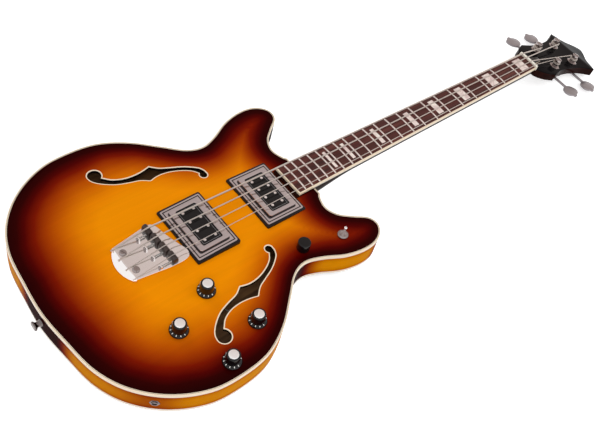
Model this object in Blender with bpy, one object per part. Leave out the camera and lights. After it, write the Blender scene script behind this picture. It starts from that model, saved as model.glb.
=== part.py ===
"""A semi-hollow bass guitar, lying on its back.

Metres. X runs along the centre line from the tail to the headstock, with 0 under the saddle line.
Y points to the bass side. Z points up from the flat of the arched back. The neck leans back from
the body by a small pitch, and the headstock leans back further from the neck.
"""
import math

import bmesh
import bpy
from mathutils import Matrix, Vector, geometry

# Clearances.
GAP = 0.0003            # between pieces that touch
BLOCK_GAP = 0.0015      # round the centre block, whose facets differ from the plates'
ARCH_GAP = 0.0007       # between two faceted arched faces
NOTCH_GAP = 0.00035     # under a string in its notch
RUNNING_GAP = 0.0004    # round a turning post
BORE_ROOM = 0.02        # how far a cutter reaches past what it cuts

# Body.
RIM_DEPTH = 0.042
BACK_ARCH = 0.008
TOP_ARCH = 0.008
ARCH_RUN = 0.150        # distance from the edge over which the top rises
BACK_RUN = 0.105        # the same for the back, whose middle is then flat
NECK_FALL = 0.170       # length over which the top falls again towards the neck
BODY_FRONT = 0.250
PLATE = 0.005
RIM_WALL = 0.003
BINDING_WIDTH = 0.0026
LINING_WIDTH = 0.006
LINING_HEIGHT = 0.0075
BLOCK_HALF = 0.050
BLOCK_FRONT = 0.230
GRID = 0.036            # facet size of the arched faces
# Half of the body's outline, bass side, from the middle of the tail to the neck.
BODY_HALF = [
    (-0.180, 0.000), (-0.176, 0.050), (-0.168, 0.103), (-0.148, 0.145), (-0.112, 0.181),
    (-0.065, 0.204), (-0.020, 0.2095), (0.025, 0.2035), (0.066, 0.183), (0.103, 0.152),
    (0.130, 0.129), (0.153, 0.1215), (0.178, 0.128), (0.212, 0.144), (0.245, 0.1505),
    (0.271, 0.146), (0.287, 0.130), (0.285, 0.112), (0.265, 0.096), (0.248, 0.081),
    (0.241, 0.063), (0.246, 0.044), (BODY_FRONT, 0.039),
]
# The bass side's f-hole: inner edge from the lower eye to the upper one, then the outer edge back.
F_LOWER_EYE = (-0.0095, 0.1525)
F_LOWER_EYE_R = 0.0115
F_UPPER_EYE = (0.1235, 0.0765)
F_UPPER_EYE_R = 0.0070
F_INNER = [(-0.0210, 0.1525), (-0.0195, 0.1455), (-0.0150, 0.1385), (-0.006, 0.130),
           (0.007, 0.1215), (0.024, 0.1155), (0.040, 0.111), (0.0515, 0.1035), (0.066, 0.1065),
           (0.082, 0.105), (0.099, 0.099), (0.1125, 0.0905), (0.1190, 0.0820)]
F_OUTER = [(0.1305, 0.0765), (0.1300, 0.0830), (0.1255, 0.0915), (0.108, 0.1045), (0.0895, 0.113),
           (0.076, 0.1195), (0.065, 0.1295), (0.051, 0.1265), (0.037, 0.1255), (0.0215, 0.1275),
           (0.007, 0.134), (-0.0022, 0.1436)]
F_INNER_NOTCH = 7
F_OUTER_NOTCH = 6
F_BINDING = 0.0016

# Neck and fretboard, in the neck's own frame: X as the body's, Z from the fretboard's face.
SCALE = 0.781
FRET_COUNT = 21
NECK_PITCH = math.radians(2.0)
BOARD_RISE = 0.0157     # fretboard's plane above the rim, carried on to the saddle line
BOARD_END = 0.2185
BOARD_THICK = 0.0055
BOARD_CROWN = 0.0011
NUT_WIDTH = 0.0408
BOARD_END_WIDTH = 0.0562
BOARD_BINDING = 0.0022
NUT_THICK = 0.0045
FRET_WIDTH = 0.0027
FRET_HEIGHT = 0.0010
TENON_START = 0.222
TENON_HALF = 0.022
TENON_DEPTH = 0.030
HEEL_DEPTH = 0.039
SHAFT_DEPTH = 0.0150
TRUSS_R = 0.0028
TRUSS_START = 0.235
TRUSS_REACH = 0.0122    # end of the rod's nut past the nut
TRUSS_NUT_R = 0.0034
TRUSS_NUT = 0.0090
TRUSS_DEPTH = 0.0060    # rod's centre under the fretboard
HEEL_FADE = 0.080       # length over which the heel rises to the shaft
STATIONS = [0.258, 0.272, 0.286, 0.300, 0.315, 0.334, 0.500]  # sections between the two ends
TONGUE_RISE = 0.0008    # tenon's top over the rim's plane
TONGUE_START = 0.2150   # the tongue shows between the board's end and the neck pickup

# Headstock, in its own frame: X along the face from the nut, Z out of the face.
HEAD_PITCH = math.radians(14.0)
HEAD_DROP = 0.004
HEAD_THICK = 0.015
OVERLAY = 0.0015
HEAD_HALF = [
    (0.0004, 0.0206), (0.006, 0.0268), (0.017, 0.0362), (0.030, 0.0412), (0.050, 0.0428),
    (0.080, 0.0422), (0.108, 0.0420), (0.132, 0.0448), (0.151, 0.0495), (0.1675, 0.0555),
]
HEAD_END = [
    (0.1675, 0.0555), (0.172, 0.0450), (0.1755, 0.0345), (0.181, 0.0255), (0.189, 0.0170),
    (0.196, 0.0085), (0.1995, 0.000),
]
COVER_START = 0.0030
COVER_POCKET = 0.0075     # half the width of the hole under the cover
COVER_LENGTH = 0.034
COVER_HALF = 0.0095
COVER_TIP_HALF = 0.0060
COVER_THICK = 0.0016

# Tuning machines.
POST_ALONG = (0.060, 0.127)
POST_ASIDE = 0.0235
POST_WAIST = 0.0050
POST_TOP_R = 0.0062
POST_HEIGHT = 0.0155
POST_SLOT = 0.0018
POST_HOLE = 0.0078
BUSHING_FLANGE = 0.0095
BUSHING_HEIGHT = 0.0014
TUNER_PLATE = 0.0016
GEAR_TEETH = 16
GEAR_R = 0.0078
GEAR_THICK = 0.0030
TOOTH = 0.0011
WORM_ROOT = 0.0026
WORM_THREAD = 0.0010
WORM_BITE = 0.0007      # how far the thread reaches between the teeth
WORM_HALF = 0.0044
KEY_SHAFT = 0.0024
KEY_START = 0.0360      # from the post's axis out to the paddle
KEY_THICK = 0.0034
EAR_THICK = 0.0026
EAR_HALF = 0.0035
EAR_DROP = 0.0042       # ear's end below the shaft's axis
TUNER_BASE = (-0.0125, -0.0125, 0.0195, 0.0165)
# Half of the paddle's outline from its root to its tip.
KEY_OUTLINE = [(0.0, 0.0000), (0.0055, 0.0010), (0.0125, 0.0045), (0.0168, 0.0110),
               (0.0165, 0.0175), (0.0110, 0.0222), (0.0048, 0.0240), (0.0026, 0.0265), (0, 0.0272)]

# Strings, bass to treble. A string's rank counts from the middle of the four.
STRING_D = (0.00265, 0.00215, 0.00165, 0.00115)
STRING_NAMES = ("e", "a", "d", "g")
MIDDLE = (len(STRING_NAMES) - 1) / 2
BRIDGE_PITCH = 0.0176
NUT_PITCH = 0.0104
RISE_AT_NUT = 0.0025    # underside above the fretboard's face
RISE_AT_SADDLE = 0.0067
WRAPS = 2
WRAP_POINTS = 12
WRAP_GAP = 0.0005
WRAP_TOP = 0.0098       # first wrap's height over the headstock's face
STRING_TAIL = -0.0590

# Bridge.
DECK_HEIGHT = 0.0060
DECK_FOLD = -0.0590
DECK_TAIL_HALF = 0.0290
DECK_HALF = 0.0365
LIP_REACH = 0.0115
LIP_EDGE = 0.0012
SADDLE_X = (-0.0070, -0.0055, -0.0040, -0.0025)
SADDLE_LENGTH = 0.0090
SADDLE_SPACE = 0.0010   # between neighbouring saddles
LUG_X = -0.0235
LUG_THICK = 0.0022
LUG_WIDE = 0.0060
SCREW_R = 0.0012
SCREW_HEAD_R = 0.0024
SCREW_HEAD = 0.0016
SCREW_RISE = 0.0030     # screw's axis over the deck
SCREW_ASIDE = 0.0040    # screw's axis beside its string
MOUNT_X = -0.0515
MOUNT_ASIDE = 0.0155
MOUNT_HEAD_R = 0.0053
MOUNT_HEAD = 0.0026
MOUNT_R = 0.0020
MOUNT_LENGTH = 0.024

# Pickups.
PICKUP_X = (0.059, 0.1785)
PICKUP_TILT = (0.0, math.radians(3.5))
PICKUP_BASE = (0.0105, 0.0030)      # surround's face over the rim's plane
PICKUP_NAMES = ("bridge", "neck")
SURROUND_LONG = 0.071
SURROUND_WIDE = 0.100
SURROUND_DEPTH = 0.0085
SURROUND_CORNER = 0.0025
FRAME_LONG = 0.0655
FRAME_WIDE = 0.0935
FRAME_THICK = 0.0016
FRAME_CORNER = 0.0025
PLATE_LONG = 0.049
PLATE_WIDE = 0.078
PLATE_CORNER = 0.0037
CAVITY_GAP = 0.0015     # round the cover in the top
PLATE_RISE = 0.0068     # top of the cover over the surround's face
WINDOW_LONG = 0.0325
WINDOW_WIDE = 0.066
COVER_WALL = 0.0015
BOBBIN_DEPTH = 0.015
BOBBIN_SINK = 0.0007    # bobbin's face under the cover's face
POLE_R = 0.0022
POLE_ROW = 0.0088      # from the middle to each row of poles
POLE_RISE = 0.0008

# Controls.
KNOB_AT = [(0.009, -0.0875), (0.040, -0.158), (-0.0535, -0.1155), (-0.022, -0.186)]
KNOB_NAMES = ("neck_volume", "neck_tone", "bridge_volume", "bridge_tone")
KNOB_SKIRT_R = 0.0130
KNOB_SKIRT = 0.0032
KNOB_BARREL_R = 0.0092
KNOB_HEIGHT = 0.0170
KNOB_CAP_R = 0.0082
KNOB_CAP = 0.0016
KNOB_LIFT = 0.0018       # clears the arch's slope
MASTER_AT = (0.165, -0.101)
MASTER_R = 0.0095
MASTER_HEIGHT = 0.0150
SHAFT_R = 0.0030
WIRE_R = 0.0009
POT_R = 0.0120
POT_HEIGHT = 0.0095
POT_BUSHING = 0.0046
POT_STAND = 0.0012      # bushing's end over the top
POT_WASHER = 0.0016     # between its case and the top
TOGGLE_AT = (0.229, -0.114)
TOGGLE_NUT_R = 0.0080
TOGGLE_BARREL_R = 0.0060
TOGGLE_CASE_R = 0.0090
TOGGLE_CASE = 0.0170
TOGGLE_NUT = 0.0030
TOGGLE_PIVOT = 0.0040   # pivot under the top
TOGGLE_REACH = 0.0180   # lever's tip from the pivot
TOGGLE_LEAN = math.radians(18.0)
TOGGLE_HEADING = math.radians(28.0)
LEVER_R = 0.0013
LEVER_BALL = 0.0024
LEVER_TIP = 0.0026

# Jack and strap buttons.
JACK_AT = (-0.1296, -0.1664)
JACK_BORE = 0.0033
JACK_BARREL = 0.0046
JACK_CASE_R = 0.0075
JACK_CASE = 0.0200
JACK_NUT_R = 0.0072
JACK_NUT = 0.0030
JACK_STAND = 0.0042
BUTTON_BASE = 0.0055
BUTTON_WAIST = 0.0038
BUTTON_FLANGE = 0.0070
BUTTON_HEIGHT = 0.0115
BUTTON_SCREW_R = 0.0020
BUTTON_SCREW_LENGTH = 0.018
HEEL_BUTTON_X = 0.278
HEEL_BUTTON_SEAT = 0.0215  # seat's height over the ground

RIM_BASE = BACK_ARCH
RIM_TOP = RIM_BASE + RIM_DEPTH
NECK = (Matrix.Translation((0, 0, RIM_TOP + BOARD_RISE)) @ Matrix.Rotation(NECK_PITCH, 4, "Y"))
HEAD_ORIGIN = SCALE + NUT_THICK + GAP
HEAD = (NECK @ Matrix.Translation((HEAD_ORIGIN, 0, -HEAD_DROP))
        @ Matrix.Rotation(HEAD_PITCH, 4, "Y"))

for old in list(bpy.data.objects):
    bpy.data.objects.remove(old)


def finish(name, colour, roughness, metallic=0.0):
    """A material with one plain finish."""
    material = bpy.data.materials.new(name)
    material.use_nodes = True
    shader = material.node_tree.nodes["Principled BSDF"]
    shader.inputs["Base Color"].default_value = (*colour, 1.0)
    shader.inputs["Roughness"].default_value = roughness
    shader.inputs["Metallic"].default_value = metallic
    return material


AMBER = finish("amber_lacquer", (0.78, 0.29, 0.01), 0.2)
MAPLE = finish("maple", (0.62, 0.42, 0.20), 0.6)
MAHOGANY = finish("mahogany", (0.07, 0.02, 0.012), 0.25)
ROSEWOOD = finish("rosewood", (0.10, 0.045, 0.035), 0.5)
CREAM = finish("cream_binding", (0.83, 0.74, 0.55), 0.35)
IVORY = finish("nut_material", (0.88, 0.84, 0.75), 0.4)
BLACK = finish("black_plastic", (0.01, 0.01, 0.01), 0.25)
CHROME = finish("chrome", (0.80, 0.80, 0.80), 0.08, 1.0)
STEEL = finish("string_steel", (0.60, 0.58, 0.55), 0.35, 1.0)


def place(name, shape, material, matrix=None):
    """Puts a bmesh or a curve in the scene as a named object, at a matrix."""
    if isinstance(shape, bmesh.types.BMesh):
        bmesh.ops.recalc_face_normals(shape, faces=shape.faces)
        data = bpy.data.meshes.new(name)
        shape.to_mesh(data)
        shape.free()
        data.shade_smooth()
        data.set_sharp_from_angle(angle=math.radians(30))
    else:
        data = shape
    if not data.materials:
        data.materials.append(material)
    thing = bpy.data.objects.new(name, data)
    bpy.context.collection.objects.link(thing)
    thing.matrix_world = matrix or Matrix()
    return thing


def guide(name, shape, matrix=None):
    """A cutter, which isn't part of the model."""
    thing = place(name, shape, MAPLE, matrix)
    thing.hide_render = True
    thing.display_type = "WIRE"
    return thing


def combine(thing, operation, *others):
    """Live Boolean modifiers with each of the other objects."""
    for other in others:
        modifier = thing.modifiers.new(other.name, "BOOLEAN")
        modifier.operation = operation
        modifier.solver = "EXACT"
        modifier.object = other
    return thing


def cut(thing, *others):
    return combine(thing, "DIFFERENCE", *others)


def add_prism(bm, outline, low, high, axis="Z"):
    """A closed outline drawn out from low to high along an axis."""
    turn = {"Z": Matrix(), "Y": Matrix(((1, 0, 0, 0), (0, 0, 1, 0), (0, 1, 0, 0), (0, 0, 0, 1))),
            "X": Matrix(((0, 0, 1, 0), (1, 0, 0, 0), (0, 1, 0, 0), (0, 0, 0, 1)))}[axis]
    base = bm.faces.new([bm.verts.new(turn @ Vector((a, b, low))) for a, b in outline])
    grown = bmesh.ops.extrude_face_region(bm, geom=[base], use_keep_orig=True)
    rise = turn @ Vector((0, 0, high - low))
    for vert in (v for v in grown["geom"] if isinstance(v, bmesh.types.BMVert)):
        vert.co += rise
    return bm


def add_box(bm, low, high):
    """A box between two corners."""
    x0, y0, z0 = low
    x1, y1, z1 = high
    return add_prism(bm, [(x0, y0), (x1, y0), (x1, y1), (x0, y1)], z0, z1)


def level(height):
    """The same height everywhere, for shapes that take a height function."""
    return lambda x, y: height


def add_band(bm, corners):
    """A closed band. Each corner of its section is an outline and a height function."""
    rows = []
    for outline, height in corners:
        rows.append([bm.verts.new((x, y, height(x, y))) for x, y in outline])
    count = len(rows[0])
    for row, following in zip(rows, rows[1:] + rows[:1]):
        for i in range(count):
            j = (i + 1) % count
            bm.faces.new((row[i], row[j], following[j], following[i]))
    return bm


def add_turned(bm, profile, segments, centre=(0, 0, 0)):
    """A profile of radius and height turned about Z. A closed profile has no point on the axis."""
    open_ended = profile[0][0] == 0 or profile[-1][0] == 0
    verts = [bm.verts.new((r, 0, z)) for r, z in profile]
    edges = [bm.edges.new(pair) for pair in zip(verts, verts[1:])]
    if not open_ended:
        edges.append(bm.edges.new((verts[-1], verts[0])))
    known = set(bm.verts) - set(verts)
    bmesh.ops.spin(bm, geom=verts + edges, cent=(0, 0, 0), axis=(0, 0, 1),
                   angle=2 * math.pi, steps=segments, use_merge=True)
    made = [v for v in bm.verts if v not in known]
    bmesh.ops.remove_doubles(bm, verts=made, dist=1e-6)
    made = [v for v in bm.verts if v not in known]
    bmesh.ops.translate(bm, verts=made, vec=centre)
    return bm


def smooth_path(points, steps):
    """Points on a smooth curve through the given ones, ends included."""
    spots = [Vector((*p, 0)) for p in points]
    slopes = []
    for i, spot in enumerate(spots):
        ahead = spots[min(i + 1, len(spots) - 1)]
        behind = spots[max(i - 1, 0)]
        slopes.append((ahead - behind).normalized())
    path = []
    for a, b, sa, sb in zip(spots, spots[1:], slopes, slopes[1:]):
        reach = (b - a).length / 3
        path += geometry.interpolate_bezier(a, a + sa * reach, b - sb * reach, b, steps + 1)[:-1]
    path.append(spots[-1])
    return [(p.x, p.y) for p in path]


def even_turns(path, turn, longest):
    """Thins a path, keeping its ends and each point where it has turned or run far enough."""
    kept = [path[0]]
    turned = run = 0.0
    for before, here, after in zip(path, path[1:], path[2:]):
        d0 = Vector(here) - Vector(before)
        d1 = Vector(after) - Vector(here)
        turned += abs(d0.angle_signed(d1, 0.0))
        run += d0.length
        if turned > turn or run > longest:
            kept.append(here)
            turned = run = 0.0
    return kept + [path[-1]]


def grow(outline, distance):
    """The outline moved outwards by a distance, or inwards where it is negative."""
    moved = []
    count = len(outline)
    for i, here in enumerate(outline):
        before = Vector(outline[i - 1])
        after = Vector(outline[(i + 1) % count])
        here = Vector(here)
        d0 = (here - before).normalized()
        d1 = (after - here).normalized()
        side = Vector((d0.y + d1.y, -d0.x - d1.x)).normalized()
        stretch = 1 / max(0.5, side.dot(Vector((d0.y, -d0.x))))
        moved.append(tuple(here + side * distance * stretch))
    return moved


def mirrored(points):
    return [(x, -y) for x, y in points]


def rounded(half_x, half_y, corner, steps=3):
    """A rectangle with round corners about the origin."""
    outline = []
    for sx, sy, start in ((1, 1, 0), (-1, 1, 90), (-1, -1, 180), (1, -1, 270)):
        for k in range(steps + 1):
            a = math.radians(start + 90 * k / steps)
            outline.append((sx * (half_x - corner) + corner * math.cos(a),
                            sy * (half_y - corner) + corner * math.sin(a)))
    return outline


# Body. The outline runs anticlockwise, starting at the middle of the tail.
TAIL_TURN = [(x, -y) for x, y in BODY_HALF[1:2]]
BASS_SIDE = smooth_path(TAIL_TURN + BODY_HALF, 12)[12:]
BASS_SIDE = even_turns(BASS_SIDE, math.radians(14), 0.042)
OUTLINE = mirrored(BASS_SIDE) + BASS_SIDE[:0:-1]
EDGES = [(Vector(a), Vector(b)) for a, b in zip(OUTLINE, OUTLINE[1:] + OUTLINE[:1])]


def ease(share):
    share = min(max(share, 0.0), 1.0)
    return share * share * (3 - 2 * share)


def edge_distance(x, y):
    """Distance from a point to the body's outline."""
    spot = Vector((x, y))
    least = 1.0
    for a, b in EDGES:
        along = b - a
        share = min(max((spot - a).dot(along) / along.length_squared, 0.0), 1.0)
        least = min(least, (spot - a - along * share).length)
    return least


def top_z(x, y):
    """Height of the arched top."""
    fall = ease((BODY_FRONT - x) / NECK_FALL) ** 2
    return RIM_TOP + TOP_ARCH * ease(edge_distance(x, y) / ARCH_RUN) * fall


def back_z(x, y):
    """Height of the arched back's outer face, 0 over its flat middle."""
    return RIM_BASE - BACK_ARCH * ease(edge_distance(x, y) / BACK_RUN)


def arched(outline, low, high):
    """A solid over an outline between two height functions, faceted on one grid."""
    bm = bmesh.new()
    bm.faces.new([bm.verts.new((x, y, 0)) for x, y in outline])
    for axis in (0, 1):
        first = math.ceil(min(p[axis] for p in outline) / GRID)
        last = math.floor(max(p[axis] for p in outline) / GRID)
        direction = Vector((1 - axis, axis, 0))
        for k in range(first, last + 1):
            bmesh.ops.bisect_plane(bm, geom=bm.verts[:] + bm.edges[:] + bm.faces[:], dist=1e-6,
                                   plane_co=direction * GRID * k, plane_no=direction)
    bmesh.ops.triangulate(bm, faces=bm.faces[:])
    grown = bmesh.ops.extrude_face_region(bm, geom=bm.faces[:], use_keep_orig=True)
    upper = {v for v in grown["geom"] if isinstance(v, bmesh.types.BMVert)}
    for vert in bm.verts:
        vert.co.z = (high if vert in upper else low)(vert.co.x, vert.co.y)
    return bm


def over_top(name, x0, x1, half):
    """Cutter that takes from a piece whatever would sink into the top."""
    outline = [(x0, -half), (x1, -half), (x1, half), (x0, half)]
    return guide(name, arched(outline, level(RIM_TOP - BORE_ROOM),
                              lambda x, y: top_z(x, y) + ARCH_GAP))


def f_hole(shrink):
    """The bass side's f-hole, drawn in by a distance."""
    def edge(knots, notch):
        path = smooth_path(knots[:notch + 1], 4)[:-1] + smooth_path(knots[notch:], 4)
        return even_turns(path, math.radians(17), 0.016)

    def eye(centre, radius, start, end):
        first = math.atan2(start[1] - centre[1], start[0] - centre[0])
        turn = (math.atan2(end[1] - centre[1], end[0] - centre[0]) - first) % (2 * math.pi)
        steps = round(turn / math.radians(36))
        return [(centre[0] + radius * math.cos(first + turn * k / steps),
                 centre[1] + radius * math.sin(first + turn * k / steps)) for k in range(1, steps)]

    inner = edge(F_INNER, F_INNER_NOTCH)
    outer = edge(F_OUTER, F_OUTER_NOTCH)
    upper = eye(F_UPPER_EYE, F_UPPER_EYE_R, inner[-1], outer[0])
    lower = eye(F_LOWER_EYE, F_LOWER_EYE_R, outer[-1], inner[0])
    return grow(inner + upper + outer + lower, -shrink)


TOP_OUTLINE = grow(OUTLINE, -(BINDING_WIDTH + GAP))
F_CUTS = []
for side, name in ((1, "bass"), (-1, "treble")):
    opening = [(x, side * y) for x, y in f_hole(0)]
    F_CUTS.append(guide("f_hole_cut_" + name,
                        add_prism(bmesh.new(), opening, RIM_TOP - BORE_ROOM, RIM_TOP + BORE_ROOM)))

# The pocket that the neck's tenon fills, through the top, the rim and the block.
pocket = add_box(bmesh.new(), (TENON_START - GAP, -TENON_HALF - GAP, RIM_TOP - TENON_DEPTH - GAP),
                 (BODY_FRONT + 0.01, TENON_HALF + GAP, RIM_TOP + BORE_ROOM))
POCKET = guide("tenon_pocket", pocket)


def pickup_frame(x, base, tilt):
    return Matrix.Translation((x, 0, RIM_TOP + base)) @ Matrix.Rotation(tilt, 4, "Y")


PICKUP_FRAMES = [pickup_frame(*each) for each in zip(PICKUP_X, PICKUP_BASE, PICKUP_TILT)]
CAVITIES = []
for name, frame in zip(PICKUP_NAMES, PICKUP_FRAMES):
    room = rounded(PLATE_LONG / 2 + CAVITY_GAP, PLATE_WIDE / 2 + CAVITY_GAP, PLATE_CORNER + GAP)
    CAVITIES.append(guide(name + "_pickup_cavity",
                          add_prism(bmesh.new(), room, -BOBBIN_DEPTH - 0.002, BORE_ROOM), frame))

CONTROLS = [(name, x, y) for name, (x, y) in zip(KNOB_NAMES, KNOB_AT)]
CONTROLS.append(("master", *MASTER_AT))
bores = bmesh.new()
for name, x, y in CONTROLS:
    add_turned(bores, [(0, 0.01), (POT_BUSHING + GAP, 0.01), (POT_BUSHING + GAP, -0.02), (0, -0.02)],
               10, (x, y, top_z(x, y)))
reach = TOGGLE_BARREL_R + GAP
add_turned(bores, [(0, 0.01), (reach, 0.01), (reach, -0.02), (0, -0.02)], 12,
           (*TOGGLE_AT, top_z(*TOGGLE_AT)))
CONTROL_BORES = guide("control_bores", bores)

top_plate = place("top_plate", arched(TOP_OUTLINE, lambda x, y: top_z(x, y) - PLATE, top_z), AMBER)
cut(top_plate, *F_CUTS, POCKET, *CAVITIES, CONTROL_BORES)
back_plate = place("back_plate", arched(TOP_OUTLINE, back_z, lambda x, y: back_z(x, y) + PLATE), AMBER)

inner = grow(OUTLINE, -BINDING_WIDTH)
for name, low in (("top_binding", RIM_TOP - PLATE), ("back_binding", RIM_BASE)):
    band = add_band(bmesh.new(), [(OUTLINE, level(low)), (OUTLINE, level(low + PLATE)),
                                  (inner, level(low + PLATE)), (inner, level(low))])
    cut(place(name, band, CREAM), POCKET)

# The bent rim, with the linings that the plates are glued to along its two edges.
LEDGES = (RIM_BASE + PLATE + GAP, RIM_TOP - PLATE - GAP)
wall = grow(OUTLINE, -RIM_WALL)
inner = grow(OUTLINE, -(RIM_WALL + LINING_WIDTH))
rim = add_band(bmesh.new(), [
    (OUTLINE, level(LEDGES[0])), (OUTLINE, level(LEDGES[1])), (inner, level(LEDGES[1])),
    (inner, level(LEDGES[1] - LINING_HEIGHT)), (wall, level(LEDGES[1] - LINING_HEIGHT)),
    (wall, level(LEDGES[0] + LINING_HEIGHT)), (inner, level(LEDGES[0] + LINING_HEIGHT)),
    (inner, level(LEDGES[0]))])
rim = cut(place("rim", rim, AMBER), POCKET)

BLOCK_TAIL = BODY_HALF[1][0] + RIM_WALL + LINING_WIDTH + 0.002
block_outline = [(BLOCK_TAIL, -BLOCK_HALF), (BLOCK_FRONT, -BLOCK_HALF),
                 (BLOCK_FRONT, BLOCK_HALF), (BLOCK_TAIL, BLOCK_HALF)]
centre_block = place("centre_block",
                     arched(block_outline, lambda x, y: back_z(x, y) + PLATE + BLOCK_GAP,
                            lambda x, y: top_z(x, y) - PLATE - BLOCK_GAP), MAPLE)
cut(centre_block, POCKET, *CAVITIES)

for side, name in ((1, "bass"), (-1, "treble")):
    outer, inner = [[(x, side * y) for x, y in f_hole(shrink)] for shrink in (GAP, GAP + F_BINDING)]
    band = add_band(bmesh.new(), [(outer, lambda x, y: top_z(x, y) - PLATE), (outer, top_z),
                                  (inner, top_z), (inner, lambda x, y: top_z(x, y) - PLATE)])
    place("f_hole_binding_" + name, band, CREAM)


# Neck. Its upper face is glued under the fretboard.
def board_half(x):
    """Half the fretboard's width over its binding."""
    share = (x - BOARD_END) / (SCALE - BOARD_END)
    return (BOARD_END_WIDTH + (NUT_WIDTH - BOARD_END_WIDTH) * share) / 2


def neck_section(bm, x, half, top, depth, steps=8):
    """One cross-section of the neck: flat above, half an ellipse below."""
    section = []
    for k in range(steps + 1):
        a = math.pi * k / steps
        drop = top - depth * math.sin(a) ** 0.8
        section.append(bm.verts.new((x, half * math.cos(a), drop)))
    return section


NECK_TOP = -(BOARD_THICK + GAP)
HEAD_STEP = math.tan(HEAD_PITCH)
neck = bmesh.new()
sections = []
for x in [TONGUE_START] + STATIONS + [SCALE]:
    heel = 1 - ease((x - BODY_FRONT) / HEEL_FADE)
    depth = SHAFT_DEPTH + (HEEL_DEPTH - SHAFT_DEPTH) * heel
    sections.append(neck_section(neck, x, board_half(x), NECK_TOP, depth))
volute = HEAD_ORIGIN + 0.014
sections.append(neck_section(neck, HEAD_ORIGIN, NUT_WIDTH / 2 - 0.0006, NECK_TOP - 0.0006, 0.0150))
sections.append(neck_section(neck, volute, NUT_WIDTH / 2 - 0.0010,
                             -HEAD_DROP - OVERLAY - 0.014 * HEAD_STEP - 0.0020, 0.0120))
for one, two in zip(sections, sections[1:]):
    for i in range(len(one)):
        j = (i + 1) % len(one)
        neck.faces.new((one[i], one[j], two[j], two[i]))
neck.faces.new(sections[0])
neck.faces.new(sections[-1])
neck = place("neck", neck, MAHOGANY, NECK)

FAR = 0.30
body_room = guide("body_room", add_box(bmesh.new(), (-FAR, -FAR, -FAR),
                                       (BODY_FRONT + GAP, FAR, RIM_TOP + ARCH_GAP)))
TENON_FRONT = BODY_FRONT + 0.012
tenon = guide("tenon", add_box(bmesh.new(), (TENON_START, -TENON_HALF, RIM_TOP - TENON_DEPTH),
                               (TENON_FRONT, TENON_HALF, RIM_TOP - 0.003)))
neck_tongue = guide("neck_tongue", add_box(bmesh.new(), (TENON_START, -TENON_HALF, RIM_TOP - 0.004),
                                           (TENON_FRONT, TENON_HALF, RIM_TOP + TONGUE_RISE)))

TIP_TURN = [(x, -y) for x, y in HEAD_END[-2:-1]]
head_half = smooth_path(HEAD_HALF, 4)[:-1] + smooth_path(HEAD_END + TIP_TURN, 3)[:-3]
head_half = even_turns(head_half, math.radians(9), 0.03)
HEAD_OUTLINE = head_half + mirrored(head_half)[-2::-1]
slab = add_prism(bmesh.new(), HEAD_OUTLINE, -HEAD_THICK, -OVERLAY - GAP)
headstock = guide("headstock", slab, HEAD)

POSTS = [(side, along) for side in (1, -1) for along in POST_ALONG]
post_bores = bmesh.new()
for side, along in POSTS:
    add_turned(post_bores, [(0, 0.01), (POST_HOLE, 0.01), (POST_HOLE, -0.03), (0, -0.03)], 10,
               (along, side * POST_ASIDE, 0))
POST_BORES = guide("post_bores", post_bores, HEAD)

truss_bore = bmesh.new()
bore = TRUSS_R + GAP
wide = TRUSS_NUT_R + GAP
TRUSS_END = HEAD_ORIGIN + TRUSS_REACH
nut_start = TRUSS_END - TRUSS_NUT
add_turned(truss_bore, [(0, TRUSS_START), (bore, TRUSS_START), (bore, nut_start - GAP),
                        (wide, nut_start - GAP), (wide, TRUSS_END + 0.004),
                        (0, TRUSS_END + 0.004)], 12)
ALONG_X = Matrix.Rotation(math.pi / 2, 4, "Y")
TRUSS_AXIS = NECK @ Matrix.Translation((0, 0, NECK_TOP - TRUSS_DEPTH)) @ ALONG_X
truss_bore = guide("truss_bore", truss_bore, TRUSS_AXIS)
cover_pocket = guide("cover_pocket",
                     add_box(bmesh.new(), (0.0055, -COVER_POCKET, -0.0125),
                             (COVER_START + COVER_LENGTH - 0.006, COVER_POCKET, 0.01)), HEAD)
cut(neck, body_room)
combine(neck, "UNION", tenon, neck_tongue, headstock)
cut(neck, truss_bore, cover_pocket, POST_BORES)

overlay = place("headstock_overlay", add_prism(bmesh.new(), HEAD_OUTLINE, -OVERLAY, 0), BLACK, HEAD)
cut(overlay, cover_pocket, POST_BORES)

truss_rod = bmesh.new()
add_turned(truss_rod, [(0, TRUSS_START + GAP), (TRUSS_R, TRUSS_START + GAP), (TRUSS_R, nut_start),
                       (TRUSS_NUT_R, nut_start), (TRUSS_NUT_R, TRUSS_END), (0, TRUSS_END)], 8)
place("truss_rod", truss_rod, STEEL, TRUSS_AXIS)

cover = [(COVER_START, COVER_HALF)]
tip = COVER_START + COVER_LENGTH - COVER_TIP_HALF
for k in range(7):
    a = math.pi / 2 * (1 - k / 6)
    cover.append((tip + COVER_TIP_HALF * math.cos(a), COVER_TIP_HALF * math.sin(a)))
cover = cover + mirrored(cover)[-2::-1]
place("truss_rod_cover", add_prism(bmesh.new(), cover, GAP, GAP + COVER_THICK), BLACK, HEAD)

# Fretboard, with its frets pressed in.
def crown(share):
    return BOARD_CROWN * (1 - share * share)


def crowned_strip(bm, x0, x1, half0, half1, low, high, steps):
    """A strip across the fretboard from low to high over the crowned face."""
    ends = []
    for x, half in ((x0, half0), (x1, half1)):
        across = [2 * k / steps - 1 for k in range(steps + 1)]
        upper = [bm.verts.new((x, half * s, high + crown(s))) for s in across]
        if low is None:
            lower = [bm.verts.new((x, half * s, -BOARD_THICK)) for s in (1, -1)]
        else:
            lower = [bm.verts.new((x, half * s, low + crown(s))) for s in across[::-1]]
        ends.append(upper + lower)
    for i in range(len(ends[0])):
        j = (i + 1) % len(ends[0])
        bm.faces.new((ends[0][i], ends[0][j], ends[1][j], ends[1][i]))
    for end in ends:
        bm.faces.new(end)
    return bm


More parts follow.
